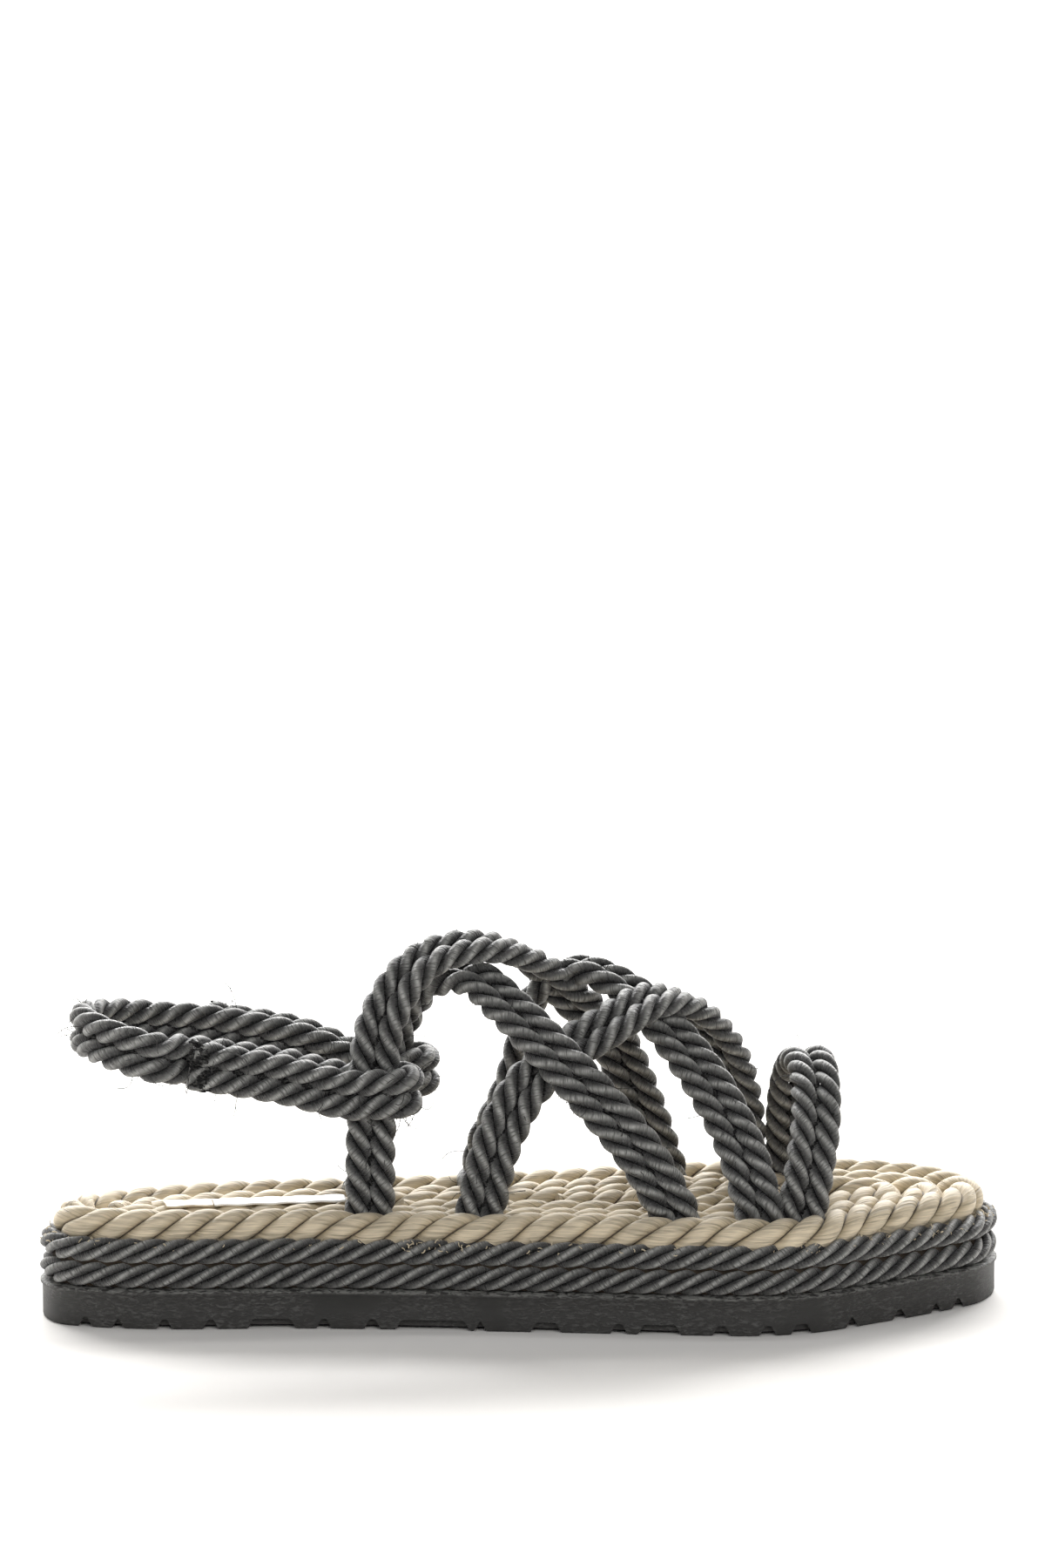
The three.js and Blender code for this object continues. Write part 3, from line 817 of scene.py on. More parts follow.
def loose_fibre_tree():
    """Short curved fibres that stand out of a surface in clusters."""
    tree, given, result = new_group(
        "loose_fibres",
        [
            ("Geometry", "NodeSocketGeometry", None),
            ("Density", "NodeSocketFloat", 20000.0),
            ("Length", "NodeSocketFloat", 5 * MM),
            ("Thickness", "NodeSocketFloat", 0.21 * MM),
            ("Lowest", "NodeSocketFloat", 0.0),
            ("Seed", "NodeSocketInt", 0),
            ("Material", "NodeSocketMaterial", None),
        ],
    )
    place = add_node(tree, "GeometryNodeInputPosition").outputs[0]
    height = add_node(tree, "ShaderNodeSeparateXYZ", links={0: place}).outputs[2]
    cluster = ranged(tree, noise(tree, place, 55.0, 1.0), 0.5, 0.66, 0.12, 1.0)
    wanted = maths(tree, "GREATER_THAN", height, given["Lowest"])
    density = maths(tree, "MULTIPLY", maths(tree, "MULTIPLY", cluster, wanted), given["Density"])
    scattered = add_node(
        tree,
        "GeometryNodeDistributePointsOnFaces",
        links={"Mesh": given["Geometry"], "Density": density, "Seed": given["Seed"]},
    ).outputs
    bow = add_node(
        tree,
        "GeometryNodeCurveQuadraticBezier",
        {
            "Resolution": 6,
            "Start": (0, 0, -0.05),
            "Middle": (0.45, 0.18, 0.5),
            "End": (1.0, -0.05, 0.3),
        },
    ).outputs[0]
    thin = maths(tree, "DIVIDE", given["Thickness"], maths(tree, "MULTIPLY", given["Length"], 2))
    ring = add_node(
        tree, "GeometryNodeCurvePrimitiveCircle", {"Resolution": 3}, {"Radius": thin}
    ).outputs[0]
    fibre = add_node(
        tree,
        "GeometryNodeCurveToMesh",
        {"Fill Caps": True},
        {"Curve": bow, "Profile Curve": ring},
    ).outputs[0]
    spin = add_node(
        tree,
        "FunctionNodeRandomValue",
        {0: (-0.5, -0.5, 0.0), 1: (0.5, 0.5, 2 * math.pi)},
        {"Seed": given["Seed"]},
        data_type="FLOAT_VECTOR",
    ).outputs[0]
    spin = add_node(tree, "FunctionNodeEulerToRotation", links={0: spin}).outputs[0]
    turned = add_node(
        tree,
        "FunctionNodeRotateRotation",
        links={0: scattered["Rotation"], 1: spin},
        rotation_space="LOCAL",
    ).outputs[0]
    size = add_node(
        tree,
        "FunctionNodeRandomValue",
        {2: 0.35, 3: 1.4},
        {"Seed": given["Seed"]},
        data_type="FLOAT",
    ).outputs[1]
    mesh = add_node(
        tree,
        "GeometryNodeInstanceOnPoints",
        links={
            "Points": scattered["Points"],
            "Instance": fibre,
            "Rotation": turned,
            "Scale": maths(tree, "MULTIPLY", size, given["Length"]),
        },
    ).outputs[0]
    return finish_tree(tree, mesh, given["Material"], result)


def loose_fibres(name, piece, material, **values):
    """Fibres that stand out of one finished piece."""
    source = piece.copy()
    bpy.context.collection.objects.link(source)
    tree = node_group("loose_fibres", loose_fibre_tree)
    given = {label.capitalize(): value for label, value in values.items()}
    given["Material"] = material
    return grown(source, name, tree, given)


def mesh_object(name, verts, faces, material, smooth=True):
    mesh = bpy.data.meshes.new(name)
    mesh.from_pydata([tuple(vert) for vert in verts], [], faces)
    mesh.materials.append(material)
    mesh.update()
    if smooth:
        mesh.shade_smooth()
    piece = bpy.data.objects.new(name, mesh)
    bpy.context.collection.objects.link(piece)
    return piece


def settle(piece, replaced=()):
    """Ties a finished piece to the part's one body."""
    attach(piece, "root")
    if replaced:
        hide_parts(*replaced)
    return piece


# Materials

EVEN_SOCKETS = {
    "roughness": "Roughness",
    "specular": "Specular IOR Level",
    "sheen": "Sheen Weight",
    "sheen_roughness": "Sheen Roughness",
}


def new_material(name):
    material = bpy.data.materials.new(name)
    material.use_nodes = True
    tree = material.node_tree
    tree.nodes.clear()
    shader = add_node(tree, "ShaderNodeBsdfPrincipled")
    add_node(tree, "ShaderNodeOutputMaterial", links={"Surface": shader.outputs[0]})
    return material, tree, shader


def object_place(tree):
    return add_node(tree, "ShaderNodeTexCoord").outputs["Object"]


def shaded(tree, base, shade):
    """A colour made darker or lighter by one number."""
    grey = add_node(tree, "ShaderNodeCombineColor", links={0: shade, 1: shade, 2: shade})
    return mixed(tree, 1.0, base, grey.outputs[0], "MULTIPLY")


def set_bump(tree, shader, height, strength, distance):
    values = {"Strength": strength, "Distance": distance}
    bump = add_node(tree, "ShaderNodeBump", values, {"Height": height})
    tree.links.new(bump.outputs[0], shader.inputs["Normal"])


def set_even(shader, **values):
    """Values that are the same all over, set on the shader's own sockets."""
    for label, value in values.items():
        shader.inputs[EVEN_SOCKETS[label]].default_value = value


def attribute(tree, name, output="Fac"):
    return add_node(tree, "ShaderNodeAttribute", attribute_name=name).outputs[output]


def strand_place(tree, strands):
    """Where a point is on its rope: angle round it, and distance from its strand's crest."""
    side = attribute(tree, "rope_side", "Vector")
    parts = add_node(tree, "ShaderNodeSeparateXYZ", links={0: side}).outputs
    angle = maths(tree, "ARCTAN2", parts["Y"], parts["X"])
    share = maths(tree, "ADD", maths(tree, "MULTIPLY", angle, strands / (2 * math.pi)), 0.5)
    local = maths(tree, "SUBTRACT", maths(tree, "FRACT", share), 0.5)
    from_crest = maths(tree, "MULTIPLY", maths(tree, "ABSOLUTE", local), 2)
    return angle, local, from_crest


def mixed(tree, share, first, second, blend="MIX"):
    """A colour between two, which are sockets or colours."""
    node = add_node(tree, "ShaderNodeMix", data_type="RGBA", blend_type=blend)
    for key, value in ((0, share), (6, first), (7, second)):
        if isinstance(value, bpy.types.NodeSocket):
            tree.links.new(value, node.inputs[key])
        else:
            node.inputs[key].default_value = value
    return node.outputs[2]


def ranged(tree, value, low, high, to_low=0.0, to_high=1.0):
    return add_node(
        tree,
        "ShaderNodeMapRange",
        {1: low, 2: high, 3: to_low, 4: to_high},
        {0: value},
        interpolation_type="SMOOTHSTEP",
    ).outputs[0]


def satin_cord(name, strands, diameter, lay):
    """Polyester satin cord: strands wound with fine thread, so threads cross each
    strand, a painted highlight runs along its crest, and painted shade makes the creases between black."""
    material, tree, shader = new_material(name)
    _, local, from_crest = strand_place(tree, strands)
    # The real thread is about 0.4 mm, too fine to show in the render, so it is drawn at
    # 0.6 mm, with coarser bunches over it.
    thread_spacing, bunch_spacing = 0.6 * MM, 1.3 * MM
    slope = math.atan(math.pi * diameter / lay)
    across = maths(tree, "MULTIPLY", local, math.pi * diameter / strands)
    around = maths(tree, "MULTIPLY", across, math.sin(slope))
    along = maths(tree, "MULTIPLY", attribute(tree, "rope_run"), 1 / math.cos(slope))
    place = maths(tree, "SUBTRACT", along, around)
    solid = object_place(tree)
    strand = noise(tree, solid, 60.0)

    def threads(spacing, drift):
        """Lines across the strand at about one spacing, each a little different."""
        lines = add_node(
            tree,
            "ShaderNodeCombineXYZ",
            links={
                0: maths(tree, "MULTIPLY", place, 1.6 / spacing),
                1: maths(tree, "MULTIPLY", across, drift / spacing),
                2: maths(tree, "MULTIPLY", strand, 2.5),
            },
        ).outputs[0]
        return noise(tree, lines, 1.0, 1.5, 0.7)

    fine = ranged(tree, threads(thread_spacing, 0.1), 0.4, 0.6)
    bunched = ranged(tree, threads(bunch_spacing, 0.16), 0.4, 0.6)
    thread = maths(tree, "MULTIPLY_ADD", fine, 0.55, maths(tree, "MULTIPLY", bunched, 0.45))
    patches = noise(tree, solid, 130.0, 3.0)
    ragged = maths(tree, "MULTIPLY_ADD", maths(tree, "SUBTRACT", thread, 0.5), 0.26, from_crest)
    # Painted highlight: each strand's crest is mixed towards the lighter crest colour.
    crest = maths(tree, "SUBTRACT", 1, ranged(tree, ragged, 0.0, 0.62))
    # Painted shade: this mask marks the creases between strands. Below, it darkens them to near black,
    # and it also makes them rougher.
    groove = ranged(tree, ragged, 0.68, 0.95)
    base = mixed(tree, crest, tuple(colours().cord), tuple(colours().cord_highlight))
    shade = maths(tree, "MULTIPLY_ADD", thread, 1.15, 0.38)
    shade = maths(tree, "MULTIPLY", shade, maths(tree, "MULTIPLY_ADD", patches, 0.7, 0.68))
    base = shaded(tree, base, shade)
    # Painted shade: the creases are mixed towards near black.
    base = mixed(tree, groove, base, tuple(colours().cord_shade))
    tree.links.new(base, shader.inputs["Base Color"])
    height = maths(tree, "ADD", thread, maths(tree, "MULTIPLY", patches, 0.5))
    set_bump(tree, shader, height, 0.9, 0.26 * MM)
    rough = maths(tree, "MULTIPLY_ADD", groove, 0.35, 0.48)
    tree.links.new(rough, shader.inputs["Roughness"])
    set_even(shader, specular=0.38, sheen=0.18, sheen_roughness=0.4)
    return material


def spun_rope():
    """Spun polyester rope: fine threads run along the rope, dull with a faint
    silkiness; painted shade darkens the flanks of its plump strands, and only a thin dark line of
    painted shade shows between them."""
    material, tree, shader = new_material("spun_polyester_rope")
    angle, _, from_crest = strand_place(tree, ROPE_STRANDS)
    turned = maths(tree, "ADD", angle, attribute(tree, "rope_turn"))
    solid = object_place(tree)
    radius = sizes().outer_rope / 2

    def fibres(spacing, stretch):
        """Lines along the rope at about one spacing."""
        place = add_node(
            tree,
            "ShaderNodeCombineXYZ",
            links={
                0: maths(tree, "MULTIPLY", maths(tree, "COSINE", turned), 0.6 * radius / spacing),
                1: maths(tree, "MULTIPLY", maths(tree, "SINE", turned), 0.6 * radius / spacing),
                2: maths(tree, "MULTIPLY", attribute(tree, "rope_run"), 0.6 / (spacing * stretch)),
            },
        ).outputs[0]
        return noise(tree, place, 1.0, 2.0, 0.55)

    fine = ranged(tree, fibres(0.3 * MM, 16.0), 0.34, 0.66)
    lines = ranged(tree, fibres(0.55 * MM, 16.0), 0.34, 0.46)
    patches = noise(tree, solid, 70.0, 3.0)
    # Painted shade: the flanks of each strand, towards the creases, are mixed towards a darker tan.
    flank = ranged(tree, from_crest, 0.3, 0.95)
    # Painted shade: a thin line in the creases between strands, mixed towards dark brown.
    groove = ranged(tree, from_crest, 0.86, 0.985)
    base = mixed(tree, flank, tuple(colours().rope), linear("BBAC90"))
    shade = maths(tree, "MULTIPLY_ADD", fine, 0.24, 0.8)
    shade = maths(tree, "MULTIPLY", shade, maths(tree, "MULTIPLY_ADD", lines, 0.3, 0.72))
    shade = maths(tree, "MULTIPLY", shade, maths(tree, "MULTIPLY_ADD", patches, 0.36, 0.86))
    base = shaded(tree, base, shade)
    base = mixed(tree, groove, base, tuple(colours().rope_shade))
    tree.links.new(base, shader.inputs["Base Color"])
    height = maths(tree, "ADD", maths(tree, "MULTIPLY", fine, 0.5), lines)
    set_bump(tree, shader, height, 0.8, 0.18 * MM)
    set_even(shader, roughness=0.6, specular=0.35, sheen=0.12)
    return material


def crepe_rubber():
    """Moulded crepe rubber: dull black with fine level wrinkles that catch the light, their ridges and
    the lip's top edge lightened as painted highlights.
    """
    material, tree, shader = new_material("moulded_crepe_rubber")
    place = object_place(tree)
    stretched = add_node(
        tree, "ShaderNodeMapping", {"Scale": (1.0, 1.0, 3.2)}, {"Vector": place}
    ).outputs[0]
    wrinkles = noise(tree, stretched, 480.0, 3.0, distortion=0.9)
    patches = noise(tree, place, 60.0, 3.0)
    where = ranged(tree, patches, 0.3, 0.62)
    height = maths(tree, "MULTIPLY", ranged(tree, wrinkles, 0.42, 0.68), where)
    base = mixed(tree, patches, tuple(colours().rubber), linear("3C3B39"))
    # Painted highlight: the wrinkle ridges are mixed towards a light grey.
    base = mixed(tree, maths(tree, "MULTIPLY", height, 0.4), base, linear("70706E"))
    high = add_node(tree, "ShaderNodeSeparateXYZ", links={0: place}).outputs[2]
    lip_top = lower_layer_bottom()
    # Painted highlight: a light line along the top edge of the lip, broken up by the wrinkles.
    lip = ranged(tree, high, lip_top - 1.3 * MM, lip_top - 0.3 * MM)
    lip = maths(tree, "MULTIPLY", lip, ranged(tree, wrinkles, 0.38, 0.6))
    base = mixed(tree, maths(tree, "MULTIPLY", lip, 0.7), base, linear("8E8E8A"))
    tree.links.new(base, shader.inputs["Base Color"])
    set_bump(tree, shader, height, 0.8, 0.3 * MM)
    set_even(shader, roughness=0.58, specular=0.4)
    return material


def woven_tape(name, base_colour, spacing):
    """Woven polyester tape: a fine rib across it, with a slight satin light."""
    material, tree, shader = new_material(name)
    place = object_place(tree)
    rib = add_node(
        tree,
        "ShaderNodeTexWave",
        {"Scale": 2 * math.pi / (20 * spacing), "Distortion": 0.4},
        {"Vector": place},
        bands_direction="X",
    ).outputs[1]
    base = mixed(tree, maths(tree, "MULTIPLY", rib, 0.15), base_colour, linear("B8B2A6"))
    tree.links.new(base, shader.inputs["Base Color"])
    set_bump(tree, shader, rib, 0.4, 0.08 * MM)
    set_even(shader, roughness=0.5)
    return material


def board():
    """Pressed fibre board: dull brown, seen only in the gaps between ropes and cords; its dark brown is
    painted shade for those gaps.
    """
    material, tree, shader = new_material("fibre_board_painted_shade")
    grain = noise(tree, object_place(tree), 300.0)
    # Painted shade: the board is made dark so that the gaps between ropes and cords show as shade.
    base = mixed(tree, grain, linear("2A241C"), linear("463C2E"))
    tree.links.new(base, shader.inputs["Base Color"])
    set_even(shader, roughness=0.9)
    return material


def thread():
    """Bonded polyester thread: black, rough with loose ends, in the shade of the cords."""
    material, tree, shader = new_material("bonded_polyester_thread")
    grain = ranged(tree, noise(tree, object_place(tree), 1100.0, 3.0), 0.42, 0.72)
    base = mixed(tree, grain, linear("0B0B0B"), linear("4A4A48"))
    tree.links.new(base, shader.inputs["Base Color"])
    set_bump(tree, shader, grain, 1.0, 0.2 * MM)
    set_even(shader, roughness=0.75, specular=0.3)
    return material


def fluff(name, base_colour):
    """Loose polyester fibre: dull and even, since one fibre is too thin to show a light."""
    material, _, shader = new_material(name)
    shader.inputs["Base Color"].default_value = base_colour
    set_even(shader, roughness=0.8, specular=0.2)
    return material


def kept_material(name, make, *values):
    return bpy.data.materials.get(name) or make(*values)


def dark_cord():
    name, size = "polyester_satin_cord", (sizes().strap_cord, sizes().strap_lay)
    return kept_material(name, satin_cord, name, CORD_STRANDS, *size)


def side_cord():
    name, size = "polyester_satin_side_cord", (sizes().trim_cord, sizes().trim_lay)
    return kept_material(name, satin_cord, name, SIDE_CORD_STRANDS, *size)


def sewing_thread():
    return kept_material("bonded_polyester_thread", thread)


def tan_rope():
    return kept_material("spun_polyester_rope", spun_rope)


# Operators


class SandalOperator:
    bl_options = {"REGISTER", "UNDO"}


def ring_mesh(name, rings, material):
    """Closed rings inside the outline, each (inset, height), capped at both ends."""
    edge = outline()
    normal = inward(edge)
    count = len(edge)
    verts = [edge + normal * inset + (0, 0, height) for inset, height in rings]
    faces = []
    for ring in range(len(rings) - 1):
        for index in range(count):
            low, high = ring * count, (ring + 1) * count
            after = (index + 1) % count
            faces.append((low + index, low + after, high + after, high + index))
    faces.append(tuple(range(count))[::-1])
    faces.append(tuple(range((len(rings) - 1) * count, len(rings) * count)))
    return mesh_object(name, np.vstack(verts), faces, material, smooth=False)


def groove_section(along, width):
    """The section of one tread groove with its rounded shoulders."""
    x = along * sizes().sole_length
    reach = width / 2 + GROOVE_SPREAD
    section = [(x + reach, GROOVE_CUT_FROM)]
    for number in range(2 * GROOVE_STEPS + 1):
        share = 1 - number / GROOVE_STEPS
        rise = min(1, (1 - abs(share)) * reach / GROOVE_SHOULDER)
        height = sizes().tread_depth * rise**2 * (3 - 2 * rise) - GROOVE_OVERCUT
        section.append((x + share * reach, height))
    section.append((x - reach, GROOVE_CUT_FROM))
    return section


def tread_cutters():
    """One solid across the sole for each groove."""
    cutters = bmesh.new()
    for along, width in GROOVES:
        section = groove_section(along, width)
        ends = []
        for y in (-sizes().ball_width, sizes().ball_width):
            ends.append([cutters.verts.new((x, y, z)) for x, z in section])
        near, far = ends
        for index in range(len(section)):
            after = (index + 1) % len(section)
            cutters.faces.new((near[index], near[after], far[after], far[index]))
        cutters.faces.new(near[::-1])
        cutters.faces.new(far)
    bmesh.ops.recalc_face_normals(cutters, faces=cutters.faces)
    mesh = bpy.data.meshes.new("tread_cutters")
    cutters.to_mesh(mesh)
    cutters.free()
    cutter = bpy.data.objects.new("tread_cutters", mesh)
    bpy.context.collection.objects.link(cutter)
    return cutter


class SANDAL_OT_outsole(SandalOperator, bpy.types.Operator):
    """Moulded rubber outsole with its lip and tread grooves"""

    bl_idname = "sandal.outsole"
    bl_label = "Outsole"

    def execute(self, context):
        top, step = sizes().outsole_thickness, sizes().lip_step
        lip = sizes().lip_height
        rings = [
            (step + 0.9 * MM, 0),
            (step + 0.25 * MM, 0.25 * MM),
            (step, 0.9 * MM),
            (step, 0.5 * top),
            (step, top - lip - 0.4 * MM),
            (0.15 * MM, top - lip + 0.2 * MM),
            (0, top - lip + 0.5 * MM),
            (0, top - 0.3 * MM),
            (0.4 * MM, top),
        ]
        rubber = kept_material("moulded_crepe_rubber", crepe_rubber)
        piece = ring_mesh("rubber_outsole", rings, rubber)
        cutter = tread_cutters()
        rib = ring_mesh(
            "tread_rib",
            [(2.2 * MM, 1.0 * MM), (2.2 * MM, sizes().tread_depth + 0.6 * MM)],
            rubber,
        )
        for operation, other in (("DIFFERENCE", cutter), ("UNION", rib)):
            modifier = piece.modifiers.new(operation, "BOOLEAN")
            modifier.operation = operation
            modifier.solver = "EXACT"
            modifier.object = other
        graph = bpy.context.evaluated_depsgraph_get()
        mesh = bpy.data.meshes.new_from_object(piece.evaluated_get(graph), depsgraph=graph)
        piece.modifiers.clear()
        piece.data = mesh
        for used in (cutter, rib):
            data = used.data
            bpy.data.objects.remove(used)
            bpy.data.meshes.remove(data)
        mesh.shade_smooth()
        mesh.set_sharp_from_angle(angle=math.radians(50))
        settle(piece, ["outsole"])
        return {"FINISHED"}


class SANDAL_OT_midsole(SandalOperator, bpy.types.Operator):
    """Fibre board with the two rows of cord sewn round its edge"""

    bl_idname = "sandal.midsole"
    bl_label = "Midsole"

    def execute(self, context):
        radius = sizes().trim_cord / 2
        rings = [(radius, lower_layer_bottom()), (radius, platform_top())]
        plate = ring_mesh("midsole_board", rings, kept_material("fibre_board_painted_shade", board))
        settle(plate)
        for name, bottom, node, seed, shift in (
            ("side_cord_lower", lower_layer_bottom(), "midsole_lower_cord_layer", 3.0, 0),
            ("side_cord_upper", upper_layer_bottom(), "midsole_upper_cord_layer", 4.0, 19),
        ):
            line = inset_line(radius, 420)
            line[:, 2] = bottom + radius
            piece = laid_rope(
                name,
                [np.roll(line, shift, axis=0)],
                side_cord(),
                closed=True,
                strands=float(SIDE_CORD_STRANDS),
                diameter=sizes().trim_cord + 0.3 * MM,
                lay=sizes().trim_lay,
                groove_depth=0.56,
                seed=seed,
            )
            settle(piece, [node])
        return {"FINISHED"}


def make_room(line, depth):
    """Moves a footbed rope aside and down where the straps' feet enter beside it."""
    feet = []
    for lateral_along, medial_along, _ in INSTEP_STRAPS + [TOE_STRAP]:
        feet += [strap_foot(lateral_along, -1), strap_foot(medial_along, 1)]
    moved = line.copy()
    for foot in feet:
        away = line[:, :2] - foot[:2]
        near = np.linalg.norm(away, axis=1)
        closest = np.argmin(near)
        reach = 9 * MM
        weight = np.exp(-(((line[:, :2] - line[closest, :2]) ** 2).sum(1)) / reach**2)
        push = away[closest] / near[closest]
        moved[:, :2] += weight[:, None] * push * depth
        moved[:, 2] -= weight * 0.4 * depth
    return moved


class SANDAL_OT_footbed(SandalOperator, bpy.types.Operator):
    """Coiled rope footbed: two turns, a third that runs to the heel, and the core"""

    bl_idname = "sandal.footbed"
    bl_label = "Footbed"

    def execute(self, context):
        outer = inset_line(outer_rope_inset(), 400)
        outer[:, 2] = outer_rope_height()
        second = inset_line(outer_rope_inset() + sizes().rope_pitch, 400, 3)
        second[:, 2] = inner_rope_height()
        wide, inner = sizes().outer_rope, sizes().footbed_rope
        ropes = [
            ("rope_outer_turn", make_room(outer, 1.5 * MM), True, wide, "footbed_rope_outer_turn"),
            ("rope_second_turn", make_room(second, 1.6 * MM), True, inner, "footbed_rope_second_turn"),
            ("rope_third_turn", third_turn_line(), False, inner, "footbed_rope_third_turn"),
            ("rope_core", core_line(), False, inner, "footbed_rope_core"),
        ]
        for seed, (name, line, closed, diameter, node) in enumerate(ropes):
            piece = laid_rope(
                name,
                [line],
                tan_rope(),
                closed=closed,
                diameter=diameter + 0.3 * MM,
                lay=sizes().rope_lay,
                strands=float(ROPE_STRANDS),
                groove_depth=0.37,
                groove_sharpness=2.6,
                crease=0.1,
                facets=36,
                step=1.0 * MM,
                unevenness=0.5 * MM,
                seed=10.0 + seed,
            )
            settle(piece, [node])
        return {"FINISHED"}


def sewing(name, lines):
    """The thread that is seen in the joint between the two cords of a strap."""
    return laid_rope(
        name,
        lines,
        sewing_thread(),
        diameter=2.7 * MM,
        lay=5.0 * MM,
        facets=16,
        step=1.0 * MM,
        unevenness=0.5 * MM,
        seed=60.0,
    )


def strap_cords(name, lines, seed, **values):
    """One strap piece, of cords laid side by side."""
    return laid_rope(
        name,
        lines,
        dark_cord(),
        diameter=sizes().strap_cord + SOFT_SWELL,
        lay=sizes().strap_lay,
        seed=seed,
        **values,
    )


def end_stitches(line, side, seed):
    """Short stitches that bind a sewn end of the sling to the band behind it."""
    random = np.random.default_rng(seed)
    end = line[2]
    radius = sizes().strap_cord / 2
    stitches = []
    for row in np.linspace(-1.95, 1.95, 34):
        height = row * radius
        starts = random.uniform(-2.6, -1.2) * MM, random.uniform(1.0, 3.4) * MM
        tilt = random.uniform(-1.1, 1.1) * MM
        points = []
        for share in np.linspace(0, 1, 6):
            up = height + tilt * (share - 0.5)
            depth = math.sqrt(max(0, radius**2 - (abs(up) - radius) ** 2))
            out = depth * 0.9 + 0.7 * MM * math.sin(math.pi * share) - 0.5 * MM
            x = starts[0] + (starts[1] - starts[0]) * share
            y = side * (out + random.uniform(0, 0.3) * MM)
            points.append(end + np.array([x, y, up - STITCH_SLOPE * x]))
        stitches.append(smooth_line(points, substeps=4))
    return stitches


class SANDAL_OT_instep_straps(SandalOperator, bpy.types.Operator):
    """Four crossed straps, each of two cords sewn side by side"""

    bl_idname = "sandal.instep_straps"
    bl_label = "Instep straps"

    def execute(self, context):
        lines, threads = [], []
        for route in INSTEP_STRAPS:
            line = strap_line(route, sizes().instep_height)
            across = flat_on_foot(line)
            if route is REAR_STRAP:
                across = leaning(line, across, *REAR_LEAN)
            lines += cord_pair(line, across)
            threads.append(line)
        piece = strap_cords("instep_straps", lines, 20.0)
        settle(piece, ["upper_instep_straps"])
        settle(sewing("instep_sewing", threads))
        return {"FINISHED"}


class SANDAL_OT_toe_strap(SandalOperator, bpy.types.Operator):
    """Strap of two sewn cords over the toes"""

    bl_idname = "sandal.toe_strap"
    bl_label = "Toe strap"

    def execute(self, context):
        line = strap_line(TOE_STRAP, sizes().toe_height)
        piece = strap_cords("toe_strap", cord_pair(line, flat_on_foot(line)), 30.0)
        settle(piece, ["upper_toe_strap"])
        settle(sewing("toe_sewing", [line]))
        return {"FINISHED"}


class SANDAL_OT_heel_sling(SandalOperator, bpy.types.Operator):
    """Sling of two sewn cords round the heel, folded round both rear uprights"""

    bl_idname = "sandal.heel_sling"
    bl_label = "Heel sling"

    def execute(self, context):
        line = sling_line()
        lines = cord_pair(line, standing_up(line))
        piece = strap_cords("heel_sling", lines, 40.0, end_share=0.45)
        settle(piece, ["upper_heel_sling"])
        settle(sewing("sling_sewing", [line]))
        stitches = end_stitches(line, -1, 51) + end_stitches(line[::-1], 1, 52)
        seams = laid_rope(
            "sling_end_stitches",
            stitches,
            sewing_thread(),
            diameter=0.75 * MM,
            lay=2.2 * MM,
            facets=8,
            step=0.5 * MM,
            unevenness=0.2 * MM,
            seed=50.0,
        )
        settle(seams)
        return {"FINISHED"}


class SANDAL_OT_loose_fibres(SandalOperator, bpy.types.Operator):
    """Loose fibres of the cords, and pale flecks where the footbed meets the side cords"""

    bl_idname = "sandal.loose_fibres"
    bl_label = "Loose fibres"

    def execute(self, context):
        dark = fluff("loose_dark_fibre", tuple(colours().cord))
        pale = fluff("loose_pale_fibre", tuple(colours().rope))
        for name, density, reach, seed in (
            ("heel_sling", 42000.0, 6 * MM, 1),
            ("instep_straps", 21000.0, 5 * MM, 2),
            ("toe_strap", 12000.0, 4 * MM, 3),
        ):
            piece = bpy.data.objects[name]
            hairs = loose_fibres(
                name + "_fibres", piece, dark, density=density, length=reach, seed=seed
            )
            settle(hairs)
            fuzz = loose_fibres(
                name + "_fuzz",
                piece,
                dark,
                density=2.5 * density,
                length=1.6 * MM,
                thickness=0.15 * MM,
                seed=seed + 10,
            )
            settle(fuzz)
        side = bpy.data.objects["side_cord_upper"]
        crest = upper_layer_bottom() + 0.6 * sizes().trim_cord
        flecks = loose_fibres(
            "edge_flecks",
            side,
            pale,
            density=420000.0,
            length=1.0 * MM,
            thickness=0.3 * MM,
            lowest=crest,
            seed=21,
        )
        settle(flecks)
        return {"FINISHED"}


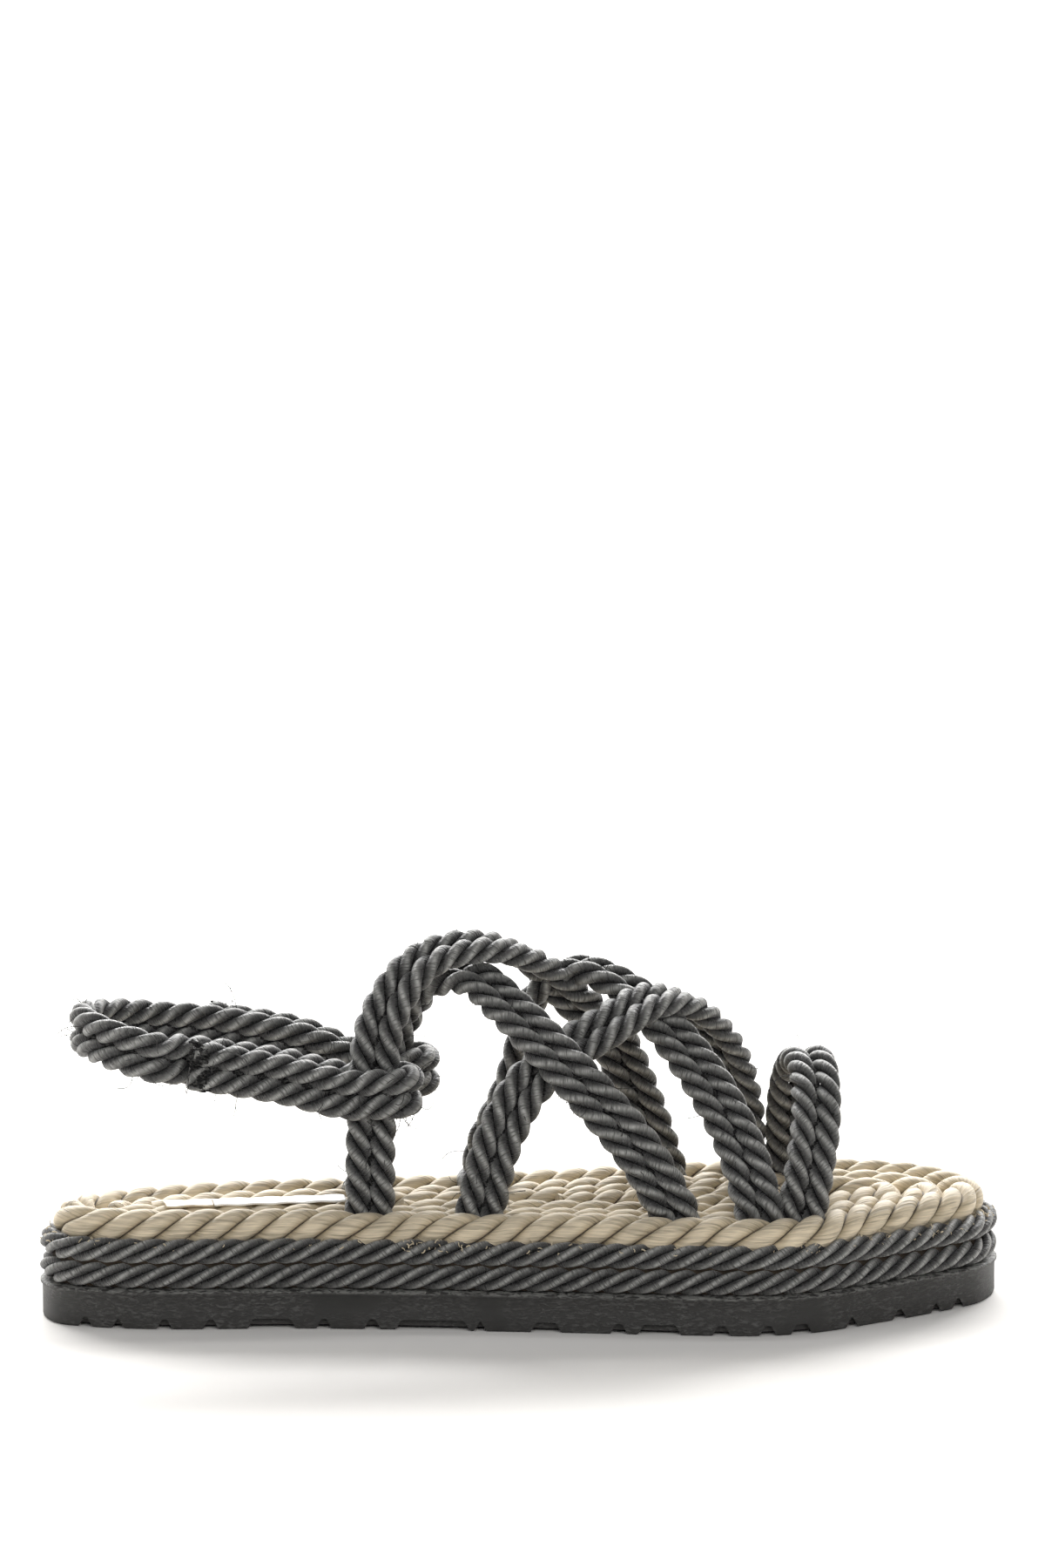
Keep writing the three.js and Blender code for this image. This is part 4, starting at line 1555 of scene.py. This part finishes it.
class SANDAL_OT_label(SandalOperator, bpy.types.Operator):
    """Blank woven strip and its tape end, stuck to the footbed"""

    bl_idname = "sandal.label"
    bl_label = "Label"

    def execute(self, context):
        width = sizes().label_width
        gap = sizes().clearance
        strip_end = sizes().label_length / 2
        strip_ends = (-strip_end, strip_end)
        tab_ends = (-strip_end - gap - sizes().label_tab, -strip_end - gap)
        strip, tab = tuple(colours().label), tuple(colours().tab)
        pieces = [
            ("label_white_strip", "label_white", "label_strip", strip_ends, "woven_satin_strip", strip),
            ("label_beige_tab", "label_beige", "label_tab", tab_ends, "woven_tape_end", tab),
        ]
        for name, slot, node, (start, end), finish, tint in pieces:
            material = kept_material(finish, woven_tape, finish, tint, TAPE_RIB)
            columns, rows = round((end - start) / (0.6 * MM)), 10
            verts = []
            for column in range(columns + 1):
                for row in range(rows + 1):
                    x = start + (end - start) * column / columns
                    y = width * (row / rows - 0.5)
                    wave = 0.25 * MM * math.cos(2 * math.pi * y / sizes().rope_pitch)
                    wave += 0.12 * MM * math.cos(2 * math.pi * x / (8.5 * MM) + 3 * y / width)
                    verts.append((x, y, footbed_top() + 0.35 * MM + wave))
            faces = []
            for column in range(columns):
                for row in range(rows):
                    low = column * (rows + 1) + row
                    high = low + rows + 1
                    faces.append((low, high, high + 1, low + 1))
            piece = mesh_object(name, verts, faces, material)
            place = Matrix.Translation(
                (LABEL_ALONG * sizes().sole_length, LABEL_ACROSS * sizes().ball_width, 0)
            ) @ Matrix.Rotation(LABEL_TURN, 4, "Z")
            piece.data.transform(place)
            solid = piece.modifiers.new("thickness", "SOLIDIFY")
            solid.thickness = 0.4 * MM
            solid.offset = 1
            settle(piece, [node])
        return {"FINISHED"}


class SANDAL_OT_stage(SandalOperator, bpy.types.Operator):
    """Pale floor that sweeps up behind, soft lights and the camera"""

    bl_idname = "sandal.stage"
    bl_label = "Stage"

    def execute(self, context):
        scene = context.scene
        material, _, shader = new_material("matte_studio_paper")
        shader.inputs["Base Color"].default_value = tuple(colours().floor)
        set_even(shader, roughness=0.9, specular=0.1)
        half, back, height, bend = 4.0, 1.6, 3.0, 0.5
        profile = [(-4.0, 0.0), (back - bend, 0.0)]
        for number in range(1, 17):
            angle = math.pi / 2 * number / 16
            profile.append((back - bend + bend * math.sin(angle), bend - bend * math.cos(angle)))
        profile.append((back, height))
        verts = [(x, y, z) for y, z in profile for x in (-half, half)]
        faces = [(2 * i, 2 * i + 1, 2 * i + 3, 2 * i + 2) for i in range(len(profile) - 1)]
        floor = mesh_object("studio_floor", verts, faces, material)

        world = bpy.data.worlds.new("studio_light")
        world.use_nodes = True
        world.node_tree.nodes["Background"].inputs[0].default_value = (1, 1, 1, 1)
        world.node_tree.nodes["Background"].inputs[1].default_value = WORLD_STRENGTH
        scene.world = world

        def soft_light(name, place, target, size, power):
            data = bpy.data.lights.new(name, "AREA")
            data.shape = "RECTANGLE"
            data.size, data.size_y = size
            data.energy = power
            light = bpy.data.objects.new(name, data)
            light.location = place
            direction = Vector(target) - Vector(place)
            light.rotation_euler = direction.to_track_quat("-Z", "Y").to_euler()
            bpy.context.collection.objects.link(light)

        for name, setting in LIGHTS.items():
            soft_light(name, *setting)

        data = bpy.data.cameras.new("camera")
        data.sensor_fit = "AUTO"
        data.sensor_width = 36
        data.lens = CAMERA_LENS
        data.clip_start, data.clip_end = 0.05, 50
        camera = bpy.data.objects.new("camera", data)
        camera.location = CAMERA_PLACE
        camera.rotation_euler = CAMERA_TURN
        bpy.context.collection.objects.link(camera)
        scene.camera = camera
        scene.view_settings.view_transform = "Standard"
        scene.view_settings.look = "None"
        return {"FINISHED"}


PIECES = [
    SANDAL_OT_outsole,
    SANDAL_OT_midsole,
    SANDAL_OT_footbed,
    SANDAL_OT_instep_straps,
    SANDAL_OT_toe_strap,
    SANDAL_OT_heel_sling,
    SANDAL_OT_loose_fibres,
    SANDAL_OT_label,
    SANDAL_OT_stage,
]


class SANDAL_PT_panel(bpy.types.Panel):
    """Lists the sandal's pieces in the order they are made"""

    bl_idname = "SANDAL_PT_panel"
    bl_label = "Rope Sandal"
    bl_space_type = "VIEW_3D"
    bl_region_type = "UI"
    bl_category = "Rope Sandal"

    def draw(self, context):
        for group in (context.scene.sandal_sizes, context.scene.sandal_colours):
            box = self.layout.box()
            for name in group.__annotations__:
                box.prop(group, name)
        for operator in PIECES:
            self.layout.operator(operator.bl_idname)


CLASSES = [SandalSizes, SandalColours, *PIECES, SANDAL_PT_panel]


def register():
    for kind in CLASSES:
        bpy.utils.register_class(kind)
    bpy.types.Scene.sandal_sizes = bpy.props.PointerProperty(type=SandalSizes)
    bpy.types.Scene.sandal_colours = bpy.props.PointerProperty(type=SandalColours)


def unregister():
    del bpy.types.Scene.sandal_colours
    del bpy.types.Scene.sandal_sizes
    for kind in reversed(CLASSES):
        bpy.utils.unregister_class(kind)


def main():
    register()
    for operator in PIECES:
        group, name = operator.bl_idname.split(".")
        getattr(getattr(bpy.ops, group), name)()


if __name__ == "__main__":
    main()
